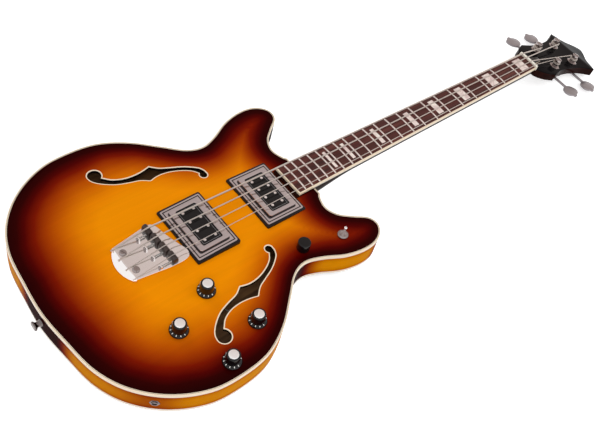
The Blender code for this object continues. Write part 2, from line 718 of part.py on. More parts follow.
inset = BOARD_BINDING + GAP
wood_start = BOARD_END + inset
wood_end = SCALE - GAP
fretboard = crowned_strip(bmesh.new(), wood_start, wood_end, board_half(wood_start) - inset,
                          board_half(wood_end) - inset, None, 0.0, 3)
fretboard = place("fretboard", fretboard, ROSEWOOD, NECK)
frets = bmesh.new()
for number in range(1, FRET_COUNT + 1):
    x = SCALE * 2 ** (-number / 12)
    half = board_half(x) - inset - 0.0002
    crowned_strip(frets, x - FRET_WIDTH / 2, x + FRET_WIDTH / 2, half, half, -0.0010, FRET_HEIGHT, 3)
combine(fretboard, "UNION", guide("frets", frets, NECK))

end = board_half(SCALE)
start = board_half(BOARD_END)
binding = [(SCALE - GAP, end), (BOARD_END, start), (BOARD_END, -start), (SCALE - GAP, -end),
           (SCALE - GAP, BOARD_BINDING - end), (BOARD_END + BOARD_BINDING, BOARD_BINDING - start),
           (BOARD_END + BOARD_BINDING, start - BOARD_BINDING), (SCALE - GAP, end - BOARD_BINDING)]
place("fretboard_binding", add_prism(bmesh.new(), binding, -BOARD_THICK, 0), CREAM, NECK)


def string_spot(index, x):
    """Centre of a string over the fretboard, in the neck's frame."""
    share = x / (SCALE + NUT_THICK)
    rank = MIDDLE - index
    y = rank * (BRIDGE_PITCH + (NUT_PITCH - BRIDGE_PITCH) * share)
    rise = RISE_AT_SADDLE + (RISE_AT_NUT - RISE_AT_SADDLE) * share
    return Vector((x, y, rise + STRING_D[index] / 2))


# The nut, with a slot for each string.
nut = [(-NUT_WIDTH / 2, -BOARD_THICK)]
for index in range(3, -1, -1):
    spot = string_spot(index, SCALE + NUT_THICK / 2)
    radius = STRING_D[index] / 2 + NOTCH_GAP
    brow = spot.z + 0.0004
    nut.append((spot.y - radius, brow))
    for k in range(5):
        a = math.pi * (1 + k / 4)
        nut.append((spot.y + radius * math.cos(a), spot.z + radius * math.sin(a)))
    nut.append((spot.y + radius, brow))
nut.insert(1, (-NUT_WIDTH / 2, nut[1][1] - 0.0006))
nut.append((NUT_WIDTH / 2, nut[-1][1] - 0.0006))
nut.append((NUT_WIDTH / 2, -BOARD_THICK))
place("nut", add_prism(bmesh.new(), nut, SCALE, SCALE + NUT_THICK, "X"), IVORY, NECK)


# Tuning machines. Each one's frame is at its post: X towards the tip, Y outwards, Z out of the face.
def tuner_frame(side, along):
    mirror = Matrix.Scale(side, 4, (0, 1, 0))
    return HEAD @ Matrix.Translation((along, side * POST_ASIDE, 0)) @ mirror


PLATE_TOP = -HEAD_THICK - GAP
WORM_AT = GEAR_R + WORM_ROOT + GAP
WORM_DEPTH = PLATE_TOP - TUNER_PLATE - WORM_ROOT - WORM_THREAD - 2 * GAP
EAR_IN = WORM_HALF + GAP
EAR_BORE = WORM_ROOT + GAP
POST_BORE = POST_WAIST + RUNNING_GAP


def tuner_housing():
    """Back plate behind the headstock."""
    x0, y0, x1, y1 = TUNER_BASE
    return add_box(bmesh.new(), (x0, y0, PLATE_TOP - TUNER_PLATE), (x1, y1, PLATE_TOP))


def housing_parts(matrix, name):
    """The bushing that clamps the back plate from the face, and its two ears for the key's shaft."""
    sleeve = add_turned(bmesh.new(), [
        (POST_BORE, BUSHING_HEIGHT), (POST_BORE, PLATE_TOP - TUNER_PLATE - 0.001),
        (POST_HOLE - GAP, PLATE_TOP - TUNER_PLATE / 2), (POST_HOLE - GAP, GAP),
        (BUSHING_FLANGE, GAP), (BUSHING_FLANGE, BUSHING_HEIGHT)], 10)
    ears = bmesh.new()
    for low in (EAR_IN, -EAR_IN - EAR_THICK):
        add_box(ears, (WORM_AT - EAR_HALF, low, WORM_DEPTH - EAR_DROP),
                (WORM_AT + EAR_HALF, low + EAR_THICK, PLATE_TOP - TUNER_PLATE / 2))
    return guide(name + "_sleeve", sleeve, matrix), guide(name + "_ears", ears, matrix)


def gear_outline():
    """Gear with teeth that narrow towards their tips."""
    outline = []
    root = GEAR_R - WORM_BITE - 0.0004
    for tooth in range(GEAR_TEETH):
        middle = 2 * math.pi * tooth / GEAR_TEETH
        for radius, width in ((root, -TOOTH), (GEAR_R, -TOOTH * 0.68), (GEAR_R, TOOTH * 0.68),
                              (root, TOOTH)):
            a = middle + width / 2 / radius
            outline.append((radius * math.cos(a), radius * math.sin(a)))
    return outline


def post_shape():
    """Slotted post that the string winds on."""
    low = WORM_DEPTH - GEAR_THICK / 2 - 0.0010
    barrel = POST_HEIGHT - 0.0040
    return add_turned(bmesh.new(), [
        (0, POST_HEIGHT), (POST_TOP_R - 0.0006, POST_HEIGHT), (POST_TOP_R, POST_HEIGHT - 0.0006),
        (POST_TOP_R, barrel), (POST_WAIST, barrel - 0.0012), (POST_WAIST, low), (0, low)], 10)


def worm_shape():
    """The key's shaft, thick between the ears."""
    inner = -EAR_IN - EAR_THICK - 0.0012
    outer = EAR_IN + EAR_THICK + GAP
    return add_turned(bmesh.new(), [
        (0, inner), (WORM_ROOT, inner), (WORM_ROOT, outer), (KEY_SHAFT * 1.35, outer),
        (KEY_SHAFT * 1.35, outer + 0.002), (KEY_SHAFT, outer + 0.003), (KEY_SHAFT, KEY_START + 0.004),
        (0, KEY_START + 0.004)], 8)


def worm_thread():
    """A ridge that winds along the shaft between the ears."""
    pitch = 2 * math.pi * GEAR_R / GEAR_TEETH
    half = WORM_HALF - 0.0008
    steps = 6
    count = round(2 * half / pitch * steps)
    bm = bmesh.new()
    rings = []
    for k in range(count + 1):
        along = -half + 2 * half * k / count
        a = along / pitch * 2 * math.pi + math.pi / 2
        ring = []
        for radius, offset in ((WORM_ROOT - 0.0006, -0.0004), (WORM_ROOT + WORM_THREAD, -0.00025),
                               (WORM_ROOT + WORM_THREAD, 0.00025), (WORM_ROOT - 0.0006, 0.0004)):
            ring.append(bm.verts.new((radius * math.cos(a), radius * math.sin(a), along + offset)))
        rings.append(ring)
    for one, two in zip(rings, rings[1:]):
        for i in range(4):
            j = (i + 1) % 4
            bm.faces.new((one[i], one[j], two[j], two[i]))
    bm.faces.new(rings[0])
    bm.faces.new(rings[-1])
    return bm


ALONG_Y = Matrix(((0, 1, 0, 0), (0, 0, 1, 0), (1, 0, 0, 0), (0, 0, 0, 1)))
TUNERS = {}
for index, (side, along) in zip((0, 1, 3, 2), POSTS):
    name = STRING_NAMES[index]
    frame = tuner_frame(side, along)
    TUNERS[index] = (side, along, frame)
    shaft_frame = frame @ Matrix.Translation((WORM_AT, 0, WORM_DEPTH)) @ ALONG_Y

    housing = place("tuner_housing_" + name, tuner_housing(), CHROME, frame)
    bore = guide(name + "_post_bore", add_turned(bmesh.new(), [
        (0, 0.01), (POST_BORE, 0.01), (POST_BORE, -0.03), (0, -0.03)], 10), frame)
    ear_bore = guide(name + "_ear_bore", add_turned(bmesh.new(), [
        (0, -0.02), (EAR_BORE, -0.02), (EAR_BORE, 0.02), (0, 0.02)], 10), shaft_frame)
    combine(housing, "UNION", *housing_parts(frame, name))
    cut(housing, bore, ear_bore)

    post = place("tuner_post_" + name, post_shape(), CHROME, frame)
    gear = guide(name + "_gear", add_prism(bmesh.new(), gear_outline(), WORM_DEPTH - GEAR_THICK / 2,
                                           WORM_DEPTH + GEAR_THICK / 2), frame)
    combine(post, "UNION", gear)
    slot = add_box(bmesh.new(), (-POST_SLOT / 2, -0.02, POST_HEIGHT - 0.0030),
                   (POST_SLOT / 2, 0.02, POST_HEIGHT + 0.01))
    cut(post, guide(name + "_post_slot", slot, frame))

    key = place("tuner_key_" + name, worm_shape(), CHROME, shaft_frame)
    thread = guide(name + "_thread", worm_thread(), shaft_frame)
    half = even_turns(smooth_path(KEY_OUTLINE, 3), math.radians(16), 0.01)
    paddle = add_prism(bmesh.new(), [(x, y + KEY_START) for x, y in half]
                       + [(-x, y + KEY_START) for x, y in half[-2:0:-1]], -KEY_THICK / 2, KEY_THICK / 2)
    paddle = guide(name + "_paddle", paddle, frame @ Matrix.Translation((WORM_AT, 0, WORM_DEPTH)))
    combine(key, "UNION", thread, paddle)


# Bridge. The deck is level, and its underside follows the top.
DECK_Z = RIM_TOP + TOP_ARCH + DECK_HEIGHT
deck_outline = [
    (DECK_FOLD, DECK_TAIL_HALF), (DECK_FOLD, -DECK_TAIL_HALF), (-0.010, -DECK_HALF + 0.0005),
    (0.008, -DECK_HALF), (0.018, -0.0345), (0.0220, -0.030), (0.0229, -0.023), (0.0185, -0.010),
    (0.0125, 0.011), (0.0095, 0.026), (0.006, 0.034), (0.001, DECK_HALF), (-0.010, DECK_HALF - 0.0005)]
bridge = bmesh.new()
add_prism(bridge, deck_outline, RIM_TOP, DECK_Z)
bridge = place("bridge_plate", bridge, CHROME)
lip = bmesh.new()
for k in range(9):
    y = DECK_TAIL_HALF * (k / 4 - 1)
    bulge = DECK_FOLD - LIP_REACH * (1 - 0.85 * (y / DECK_TAIL_HALF) ** 2)
    for x, z in ((DECK_FOLD + 0.003, DECK_Z), (DECK_FOLD, DECK_Z),
                 (bulge, RIM_TOP + TOP_ARCH + LIP_EDGE), (bulge, RIM_TOP), (DECK_FOLD + 0.003, RIM_TOP)):
        lip.verts.new((x, y, z))
bmesh.ops.convex_hull(lip, input=lip.verts[:])
bmesh.ops.delete(lip, geom=[v for v in lip.verts if not v.link_faces], context="VERTS")
lugs = bmesh.new()
for rank in range(4):
    y = BRIDGE_PITCH * (MIDDLE - rank) - SCREW_ASIDE
    add_box(lugs, (LUG_X - LUG_THICK / 2, y - LUG_WIDE / 2, DECK_Z - 0.001),
            (LUG_X + LUG_THICK / 2, y + LUG_WIDE / 2, DECK_Z + SCREW_RISE + SCREW_HEAD_R))
combine(bridge, "UNION", guide("bridge_lip", lip), guide("bridge_lugs", lugs))


def saddle_spot(index):
    """Where the middle of a string crosses its saddle, in the model's frame."""
    return NECK @ string_spot(index, SADDLE_X[index])


def string_tail(index):
    """Where a string's end lies in its hole behind the fold."""
    return Vector((STRING_TAIL - 0.004, saddle_spot(index).y, DECK_Z - 0.0006))


bores = bmesh.new()
for index in range(4):
    spot = saddle_spot(index)
    end = string_tail(index)
    length = 0.012
    hole = bmesh.new()
    add_turned(hole, [(0, -length), (STRING_D[index] / 2 + 0.0005, -length),
                      (STRING_D[index] / 2 + 0.0005, length * 1.4), (0, length * 1.4)], 8)
    heading = (spot - end).to_track_quat("Z", "Y").to_matrix().to_4x4()
    bmesh.ops.transform(hole, matrix=Matrix.Translation(end) @ heading, verts=hole.verts)
    spare = bpy.data.meshes.new("hole")
    hole.to_mesh(spare)
    bores.from_mesh(spare)
    y = BRIDGE_PITCH * (MIDDLE - index) - SCREW_ASIDE
    add_prism(bores, [(y + (SCREW_R + GAP) * math.cos(math.pi * k / 4),
                       DECK_Z + SCREW_RISE + (SCREW_R + GAP) * math.sin(math.pi * k / 4))
                      for k in range(8)], LUG_X - 0.01, LUG_X + 0.01, "X")
for side in (1, -1):
    add_turned(bores, [(0, 0.01), (MOUNT_R + GAP, 0.01), (MOUNT_R + GAP, -0.03), (0, -0.03)], 10,
               (MOUNT_X, side * MOUNT_ASIDE, DECK_Z))
over = over_top("bridge_seat", -0.085, 0.04, 0.045)
cut(bridge, over, guide("bridge_bores", bores))

mount_bores = bmesh.new()
for side, name in ((1, "bass"), (-1, "treble")):
    spot = (MOUNT_X, side * MOUNT_ASIDE, DECK_Z)
    add_turned(mount_bores, [(0, 0), (MOUNT_R + GAP, 0), (MOUNT_R + GAP, -MOUNT_LENGTH - GAP),
                             (0, -MOUNT_LENGTH - GAP)], 10, spot)
    screw = add_turned(bmesh.new(), [
        (0, MOUNT_HEAD), (MOUNT_HEAD_R * 0.75, MOUNT_HEAD), (MOUNT_HEAD_R, MOUNT_HEAD * 0.5),
        (MOUNT_HEAD_R, GAP), (MOUNT_R, GAP), (MOUNT_R, -MOUNT_LENGTH), (0, -MOUNT_LENGTH)], 14)
    place("bridge_screw_" + name, screw, CHROME, Matrix.Translation(spot))
MOUNT_BORES = guide("mount_bores", mount_bores)
cut(top_plate, MOUNT_BORES)
cut(centre_block, MOUNT_BORES)


def saddle_shape(index):
    """A wooden bar across the deck, with a notch for its string. The origin is under the string."""
    spot = saddle_spot(index)
    width = BRIDGE_PITCH - SADDLE_SPACE
    floor = DECK_Z + GAP - spot.z
    notch = -STRING_D[index] / 2 - NOTCH_GAP
    brow = notch + 0.0012
    half = SADDLE_LENGTH / 2
    full = [(-half, floor), (-half, brow - 0.0042), (-half * 0.80, brow - 0.0018),
            (-half * 0.42, brow - 0.0003), (0.0, brow), (half * 0.42, brow - 0.0003),
            (half * 0.80, brow - 0.0018), (half, brow - 0.0042), (half, floor)]
    tail = string_tail(index) - spot
    rear = tail.z / tail.x
    ahead = (NECK @ string_spot(index, 0.1)) - spot
    fore = ahead.z / ahead.x

    def notched(x, z):
        return min(z, notch + (rear if x < 0 else fore) * x)

    low = [(x, notched(x, z)) for x, z in full]
    reach = STRING_D[index] / 2 + NOTCH_GAP
    bm = bmesh.new()
    rows = []
    for y, profile in ((-width / 2, full), (-reach, full), (-reach, low), (reach, low),
                       (reach, full), (width / 2, full)):
        rows.append([bm.verts.new((x, y, z)) for x, z in profile])
    for one, two in zip(rows, rows[1:]):
        for i in range(len(one)):
            j = (i + 1) % len(one)
            bm.faces.new((one[i], one[j], two[j], two[i]))
    bm.faces.new(rows[0])
    bm.faces.new(rows[-1])
    bmesh.ops.remove_doubles(bm, verts=bm.verts[:], dist=1e-6)
    bmesh.ops.triangulate(bm, faces=bm.faces[:])
    return bm


for index, name in enumerate(STRING_NAMES):
    spot = saddle_spot(index)
    saddle = place("saddle_" + name, saddle_shape(index), ROSEWOOD, Matrix.Translation(spot))
    axis = Vector((LUG_X, BRIDGE_PITCH * (MIDDLE - index) - SCREW_ASIDE, DECK_Z + SCREW_RISE))
    screw_frame = Matrix.Translation(axis) @ ALONG_X
    bore = add_turned(bmesh.new(), [(0, 0.002), (SCREW_R + GAP, 0.002), (SCREW_R + GAP, 0.05),
                                    (0, 0.05)], 8)
    cut(saddle, guide(name + "_screw_bore", bore, screw_frame))
    head = LUG_THICK / 2 + GAP
    tip = spot.x + 0.001 - LUG_X
    screw = add_turned(bmesh.new(), [
        (0, -head - SCREW_HEAD), (SCREW_HEAD_R * 0.8, -head - SCREW_HEAD), (SCREW_HEAD_R, -head - 0.0006),
        (SCREW_HEAD_R, -head), (SCREW_R, -head), (SCREW_R, tip), (0, tip)], 8)
    place("saddle_screw_" + name, screw, CHROME, screw_frame)


# Pickups. Each one's frame has Z = 0 at its surround's face.
for name, frame in zip(PICKUP_NAMES, PICKUP_FRAMES):
    surround = place(name + "_pickup_surround",
                     add_prism(bmesh.new(), rounded(SURROUND_LONG / 2, SURROUND_WIDE / 2, SURROUND_CORNER, 2),
                               -SURROUND_DEPTH, 0), BLACK, frame)
    centre = frame.translation.x
    seat = over_top(name + "_pickup_seat", centre - 0.05, centre + 0.05, 0.075)
    hole = rounded(PLATE_LONG / 2 + GAP, PLATE_WIDE / 2 + GAP, PLATE_CORNER + GAP, 2)
    cut(surround, seat, guide(name + "_surround_hole", add_prism(bmesh.new(), hole, -BORE_ROOM, 0.01), frame))

    cover = add_prism(bmesh.new(), rounded(FRAME_LONG / 2, FRAME_WIDE / 2, FRAME_CORNER, 2),
                      GAP, FRAME_THICK)
    cover = place(name + "_pickup_cover", cover, CHROME, frame)
    raised = guide(name + "_cover_raised",
                   add_prism(bmesh.new(), rounded(PLATE_LONG / 2, PLATE_WIDE / 2, PLATE_CORNER, 2),
                             -0.004, PLATE_RISE), frame)
    inside = rounded(PLATE_LONG / 2 - COVER_WALL, PLATE_WIDE / 2 - COVER_WALL,
                     PLATE_CORNER - COVER_WALL + GAP, 2)
    room = guide(name + "_cover_room",
                 add_prism(bmesh.new(), inside, -0.01, PLATE_RISE - COVER_WALL), frame)
    window = guide(name + "_cover_window",
                   add_prism(bmesh.new(), rounded(WINDOW_LONG / 2, WINDOW_WIDE / 2, 0.002, 2),
                             -0.01, BORE_ROOM), frame)
    cut(combine(cover, "UNION", raised), room, window)

    face = PLATE_RISE - COVER_WALL - GAP
    block = rounded(PLATE_LONG / 2 - COVER_WALL - GAP, PLATE_WIDE / 2 - COVER_WALL - GAP,
                    PLATE_CORNER - COVER_WALL, 2)
    bobbin = place(name + "_pickup_bobbin", add_prism(bmesh.new(), block, -BOBBIN_DEPTH, face),
                   BLACK, frame)
    window_half = WINDOW_LONG / 2 - GAP
    core = guide(name + "_bobbin_core",
                 add_prism(bmesh.new(), rounded(window_half, WINDOW_WIDE / 2 - GAP, 0.0017, 2),
                           face - 0.002, PLATE_RISE - BOBBIN_SINK), frame)
    poles = bmesh.new()
    for rank in range(4):
        spread = BRIDGE_PITCH + (NUT_PITCH - BRIDGE_PITCH) * frame.translation.x / SCALE
        for row in (1, -1):
            spot = (row * POLE_ROW, spread * (MIDDLE - rank), 0)
            top = PLATE_RISE - BOBBIN_SINK + POLE_RISE
            add_turned(poles, [(0, top), (POLE_R, top), (POLE_R, face), (0, face)], 6, spot)
    combine(bobbin, "UNION", core, guide(name + "_bobbin_poles", poles, frame))

# Knobs, each with the shaft of its potentiometer.
KNOB = [(0, KNOB_HEIGHT + KNOB_CAP), (KNOB_CAP_R, KNOB_HEIGHT + KNOB_CAP), (KNOB_CAP_R, KNOB_HEIGHT),
        (KNOB_BARREL_R, KNOB_HEIGHT - 0.0008), (KNOB_BARREL_R + 0.0008, KNOB_SKIRT + 0.0012),
        (KNOB_SKIRT_R - 0.001, KNOB_SKIRT), (KNOB_SKIRT_R, KNOB_SKIRT * 0.4), (KNOB_SKIRT_R, 0)]
MASTER = [(0, MASTER_HEIGHT), (MASTER_R - 0.0012, MASTER_HEIGHT), (MASTER_R, MASTER_HEIGHT - 0.0012),
          (MASTER_R, 0)]
SHAFT_END = -POT_HEIGHT
harness = None
pots = []
for name, x, y in CONTROLS:
    frame = Matrix.Translation((x, y, top_z(x, y)))
    profile = MASTER if name == "master" else KNOB
    profile = [(r, z + KNOB_LIFT) for r, z in profile]
    profile += [(SHAFT_R, KNOB_LIFT), (SHAFT_R, SHAFT_END), (0, SHAFT_END)]
    place(name + "_knob", add_turned(bmesh.new(), profile, 12), BLACK, frame)
    roof = -PLATE - POT_WASHER
    floor = roof - POT_HEIGHT
    pot = add_turned(bmesh.new(), [
        (0, floor), (POT_R, floor), (POT_R, roof), (POT_BUSHING, roof), (POT_BUSHING, POT_STAND),
        (SHAFT_R + GAP, POT_STAND), (SHAFT_R + GAP, SHAFT_END - GAP), (0, SHAFT_END - GAP)], 10)
    if harness is None:
        harness = place("potentiometers", pot, CHROME, frame)
    else:
        pots.append(guide(name + "_pot", pot, frame))


def wire(name, points, radius):
    """A bare wire through some points."""
    curve = bpy.data.curves.new(name, "CURVE")
    curve.dimensions = "3D"
    curve.bevel_depth = radius
    curve.bevel_resolution = 1
    curve.use_fill_caps = True
    spline = curve.splines.new("POLY")
    spline.points.add(len(points) - 1)
    for point, spot in zip(spline.points, points):
        point.co = (*spot, 1)
    return curve


# The ground wire is soldered to each case in turn.
order = [CONTROLS[i] for i in (4, 1, 0, 2, 3)]
ground = [Vector((x, y, top_z(x, y) - PLATE - POT_WASHER - POT_HEIGHT + WIRE_R * 0.4))
          for _, x, y in order]
combine(harness, "UNION", *pots)
for number, (a, b) in enumerate(zip(ground, ground[1:])):
    along = (b - a).to_track_quat("Z", "Y").to_matrix().to_4x4()
    length = (b - a).length
    stretch = add_turned(bmesh.new(), [(0, 0), (WIRE_R, 0), (WIRE_R, length), (0, length)], 5)
    combine(harness, "UNION", guide(f"ground_wire_{number}", stretch, Matrix.Translation(a) @ along))

# Selector switch: its bush stands through the top, and the lever swings in it.
toggle_frame = Matrix.Translation((*TOGGLE_AT, top_z(*TOGGLE_AT)))
seat = -TOGGLE_PIVOT - LEVER_BALL - GAP
place("toggle_body", add_turned(bmesh.new(), [
    (0, -PLATE - TOGGLE_CASE), (TOGGLE_CASE_R, -PLATE - TOGGLE_CASE), (TOGGLE_CASE_R, -PLATE - GAP),
    (TOGGLE_BARREL_R, -PLATE - GAP), (TOGGLE_BARREL_R, GAP), (TOGGLE_NUT_R, GAP),
    (TOGGLE_NUT_R, TOGGLE_NUT), (TOGGLE_BARREL_R - 0.0012, TOGGLE_NUT + 0.0006),
    (LEVER_BALL + GAP, -TOGGLE_PIVOT + 0.0006), (LEVER_BALL + GAP, seat), (0, seat)], 12),
    CHROME, toggle_frame)
heading = Matrix.Rotation(TOGGLE_HEADING, 4, "Z")
TOGGLE_FRAME = (toggle_frame @ Matrix.Translation((0, 0, -TOGGLE_PIVOT)) @ heading
                @ Matrix.Rotation(TOGGLE_LEAN, 4, "Y"))
place("toggle_lever", add_turned(bmesh.new(), [
    (0, -LEVER_BALL), (LEVER_BALL * 0.7, -LEVER_BALL * 0.7), (LEVER_BALL, 0),
    (LEVER_R, LEVER_BALL * 0.8), (LEVER_R, TOGGLE_REACH - 0.0060), (LEVER_TIP, TOGGLE_REACH - 0.0030),
    (LEVER_TIP, TOGGLE_REACH - 0.0010), (LEVER_TIP * 0.6, TOGGLE_REACH), (0, TOGGLE_REACH)], 10),
    CHROME, TOGGLE_FRAME)

# Output jack, square to the rim at half its depth.
RIM_MIDDLE = RIM_BASE + RIM_DEPTH / 2


def rim_frame(spot):
    """A frame on the rim's outer face next to a point, with Z pointing out."""
    spot = Vector(spot)

    def reach(pair):
        a, b = pair
        share = min(max((spot - a).dot(b - a) / (b - a).length_squared, 0.0), 1.0)
        return (spot - a - (b - a) * share).length

    a, b = min(EDGES, key=reach)
    along = (b - a).normalized()
    foot = a + along * (spot - a).dot(along)
    out = Vector((along.y, -along.x, 0))
    turn = Matrix((Vector((along.x, along.y, 0)), Vector((0, 0, 1)), out)).transposed().to_4x4()
    return Matrix.Translation((foot.x, foot.y, RIM_MIDDLE)) @ turn


JACK_FRAME = rim_frame(JACK_AT)
barrel = guide("jack_hole", add_turned(bmesh.new(), [
    (0, 0.01), (JACK_BARREL + GAP, 0.01), (JACK_BARREL + GAP, -0.008), (0, -0.008)], 12), JACK_FRAME)
cut(rim, barrel)
inside = -RIM_WALL - ARCH_GAP
place("output_jack", add_turned(bmesh.new(), [
    (0, inside - JACK_CASE), (JACK_CASE_R, inside - JACK_CASE), (JACK_CASE_R, inside),
    (JACK_BARREL, inside), (JACK_BARREL, JACK_STAND), (JACK_BORE, JACK_STAND),
    (JACK_BORE, inside - JACK_CASE + 0.002), (0, inside - JACK_CASE + 0.002)], 12), CHROME, JACK_FRAME)
place("output_jack_nut", add_turned(bmesh.new(), [
    (JACK_BARREL + GAP, GAP), (JACK_NUT_R, GAP), (JACK_NUT_R, JACK_NUT),
    (JACK_BARREL + GAP, JACK_NUT)], 12), CHROME, JACK_FRAME)

# Strap buttons, each held by its screw.
BUTTON = [
    (0, BUTTON_HEIGHT), (BUTTON_FLANGE - 0.0008, BUTTON_HEIGHT), (BUTTON_FLANGE, BUTTON_HEIGHT - 0.0012),
    (BUTTON_FLANGE - 0.0006, BUTTON_HEIGHT - 0.0026), (BUTTON_WAIST, BUTTON_HEIGHT - 0.0045),
    (BUTTON_WAIST + 0.0002, 0.0035), (BUTTON_BASE, GAP), (BUTTON_SCREW_R, GAP),
    (BUTTON_SCREW_R, -BUTTON_SCREW_LENGTH), (0, -BUTTON_SCREW_LENGTH)]
HEEL_FRAME = (Matrix.Translation((HEEL_BUTTON_X, 0, HEEL_BUTTON_SEAT))
              @ Matrix.Rotation(math.pi, 4, "X"))
TAIL_FRAME = (Matrix.Translation((BODY_HALF[0][0], 0, RIM_MIDDLE))
              @ Matrix.Rotation(-math.pi / 2, 4, "Y"))
reach = BUTTON_SCREW_R + GAP
screw_hole = [(0, 0.01), (reach, 0.01), (reach, -BUTTON_SCREW_LENGTH - GAP),
              (0, -BUTTON_SCREW_LENGTH - GAP)]
for name, frame in (("tail", TAIL_FRAME), ("heel", HEEL_FRAME)):
    place("strap_button_" + name, add_turned(bmesh.new(), BUTTON, 10), CHROME, frame)
tail_hole = guide("tail_screw_hole", add_turned(bmesh.new(), screw_hole, 8), TAIL_FRAME)
cut(rim, tail_hole)
cut(centre_block, tail_hole)
heel_hole = guide("heel_screw_hole", add_turned(bmesh.new(), screw_hole, 8), HEEL_FRAME)
seat = guide("heel_button_seat", add_turned(bmesh.new(), [
    (0, 0), (BUTTON_BASE + 0.001, 0), (BUTTON_BASE + 0.001, 0.03), (0, 0.03)], 12), HEEL_FRAME)
cut(neck, heel_hole, seat)

# Strings, from the bridge over the nut and round the posts. Each is one unbroken length.
for index, name in enumerate(STRING_NAMES):
    side, along, frame = TUNERS[index]
    radius = STRING_D[index] / 2
    spot = saddle_spot(index)
    tail = string_tail(index)
    nut_back = NECK @ string_spot(index, SCALE)
    nut_front = NECK @ string_spot(index, SCALE + NUT_THICK)
    wind = POST_WAIST + GAP + radius
    pitch = STRING_D[index] + WRAP_GAP
    total = WRAPS * WRAP_POINTS
    # The string meets the post on its inner side, where it runs towards the tip, and winds down.
    turns = []
    for k in range(total + 1):
        a = -math.pi / 2 + 2 * math.pi * k / WRAP_POINTS
        turns.append(frame @ Vector((wind * math.cos(a), wind * math.sin(a),
                                     WRAP_TOP - pitch * k / WRAP_POINTS)))
    rows = len(turns)
    least = min((turns[i] - turns[j]).length for i in range(rows)
                for j in range(i + WRAP_POINTS - 1, rows))
    print(name, "string: least gap between turns", round((least - STRING_D[index]) * 1000, 2), "mm")
    points = [tail, spot.lerp(tail, 0.02), spot, spot.lerp(nut_back, 0.002), nut_back, nut_front] + turns
    place("string_" + name, wire("string_" + name, points, radius), STEEL)

print(len([o for o in bpy.data.objects if not o.hide_render]), "pieces")
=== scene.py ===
import math

import bmesh
import bpy
from mathutils import Matrix, Vector, geometry, kdtree


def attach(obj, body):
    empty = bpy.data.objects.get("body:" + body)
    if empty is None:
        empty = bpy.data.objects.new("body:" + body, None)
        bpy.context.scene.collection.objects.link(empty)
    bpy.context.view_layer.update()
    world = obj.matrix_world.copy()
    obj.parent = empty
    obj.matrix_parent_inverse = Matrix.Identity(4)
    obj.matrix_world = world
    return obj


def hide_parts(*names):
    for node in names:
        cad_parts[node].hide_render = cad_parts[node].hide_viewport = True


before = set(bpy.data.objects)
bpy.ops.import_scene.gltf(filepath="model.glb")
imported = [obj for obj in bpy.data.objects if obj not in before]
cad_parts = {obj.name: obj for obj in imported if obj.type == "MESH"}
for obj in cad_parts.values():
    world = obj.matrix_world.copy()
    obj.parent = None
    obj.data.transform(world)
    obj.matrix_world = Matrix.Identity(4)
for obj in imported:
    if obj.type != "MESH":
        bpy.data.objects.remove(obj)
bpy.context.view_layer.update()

# Camera. It looks down on the bass from behind its tail, on the treble side. Its place and lens
# come from a fit to the frets, the outline and the hardware in the photograph.
LENS = 53.68
SENSOR = 36.0
CAMERA_AT = Vector((-0.4363, -0.5359, 1.0447))
LOOK = Vector((0.4962, 0.3747, -0.7832)).normalized()
UPWARDS = Vector((0.4224, 0.6839, 0.5948))
camera_data = bpy.data.cameras.new("photo_camera")
camera_data.lens = LENS
camera_data.sensor_width = SENSOR
camera = bpy.data.objects.new("photo_camera", camera_data)
across = LOOK.cross(UPWARDS).normalized()
turned_frame = Matrix((across, across.cross(LOOK), -LOOK)).transposed().to_4x4()
camera.matrix_world = Matrix.Translation(CAMERA_AT) @ turned_frame
bpy.context.scene.collection.objects.link(camera)
bpy.context.scene.camera = camera
bpy.context.scene.view_settings.view_transform = "Standard"

# World and lamps. A seamless white sweep lights the bass softly from all round, and three round
# lamps add a brighter side. The camera and reflections see the sweep as full white.
WORLD_LIGHT = 0.55
LAMPS = [("key_lamp", (-0.9, -1.3, 2.1), 1.6, 24.0), ("fill_lamp", (1.5, -1.0, 1.9), 1.4, 10.0),
         ("rim_lamp", (0.1, 1.9, 1.5), 1.2, 9.0)]
LAMP_TARGET = Vector((0.3, 0.0, 0.0))


def add_node(tree, kind, values=None, **settings):
    """A shader node with its settings. Each value is a number or colour, or a socket to link."""
    node = tree.nodes.new("ShaderNode" + kind)
    for key, value in settings.items():
        setattr(node, key, value)
    for key, value in (values or {}).items():
        if isinstance(value, bpy.types.NodeSocket):
            tree.links.new(value, node.inputs[key])
        else:
            node.inputs[key].default_value = value
    return node


def maths(tree, operation, *values):
    """The result of one operation on numbers or sockets."""
    return add_node(tree, "Math", dict(enumerate(values)), operation=operation).outputs[0]


def mapped(tree, value, low, high, start=0.0, end=1.0):
    """A value that runs from start to end, carried to the range from low to high."""
    return add_node(tree, "MapRange", {"Value": value, "From Min": start, "From Max": end,
                                       "To Min": low, "To Max": high}).outputs["Result"]


def seen_directly(tree):
    """1 where the white sweep is seen by the camera or in a reflection, and 0 where it lights."""
    rays = add_node(tree, "LightPath").outputs
    direct = maths(tree, "MAXIMUM", rays["Is Camera Ray"], rays["Is Glossy Ray"])
    return maths(tree, "MAXIMUM", direct, rays["Is Transmission Ray"])


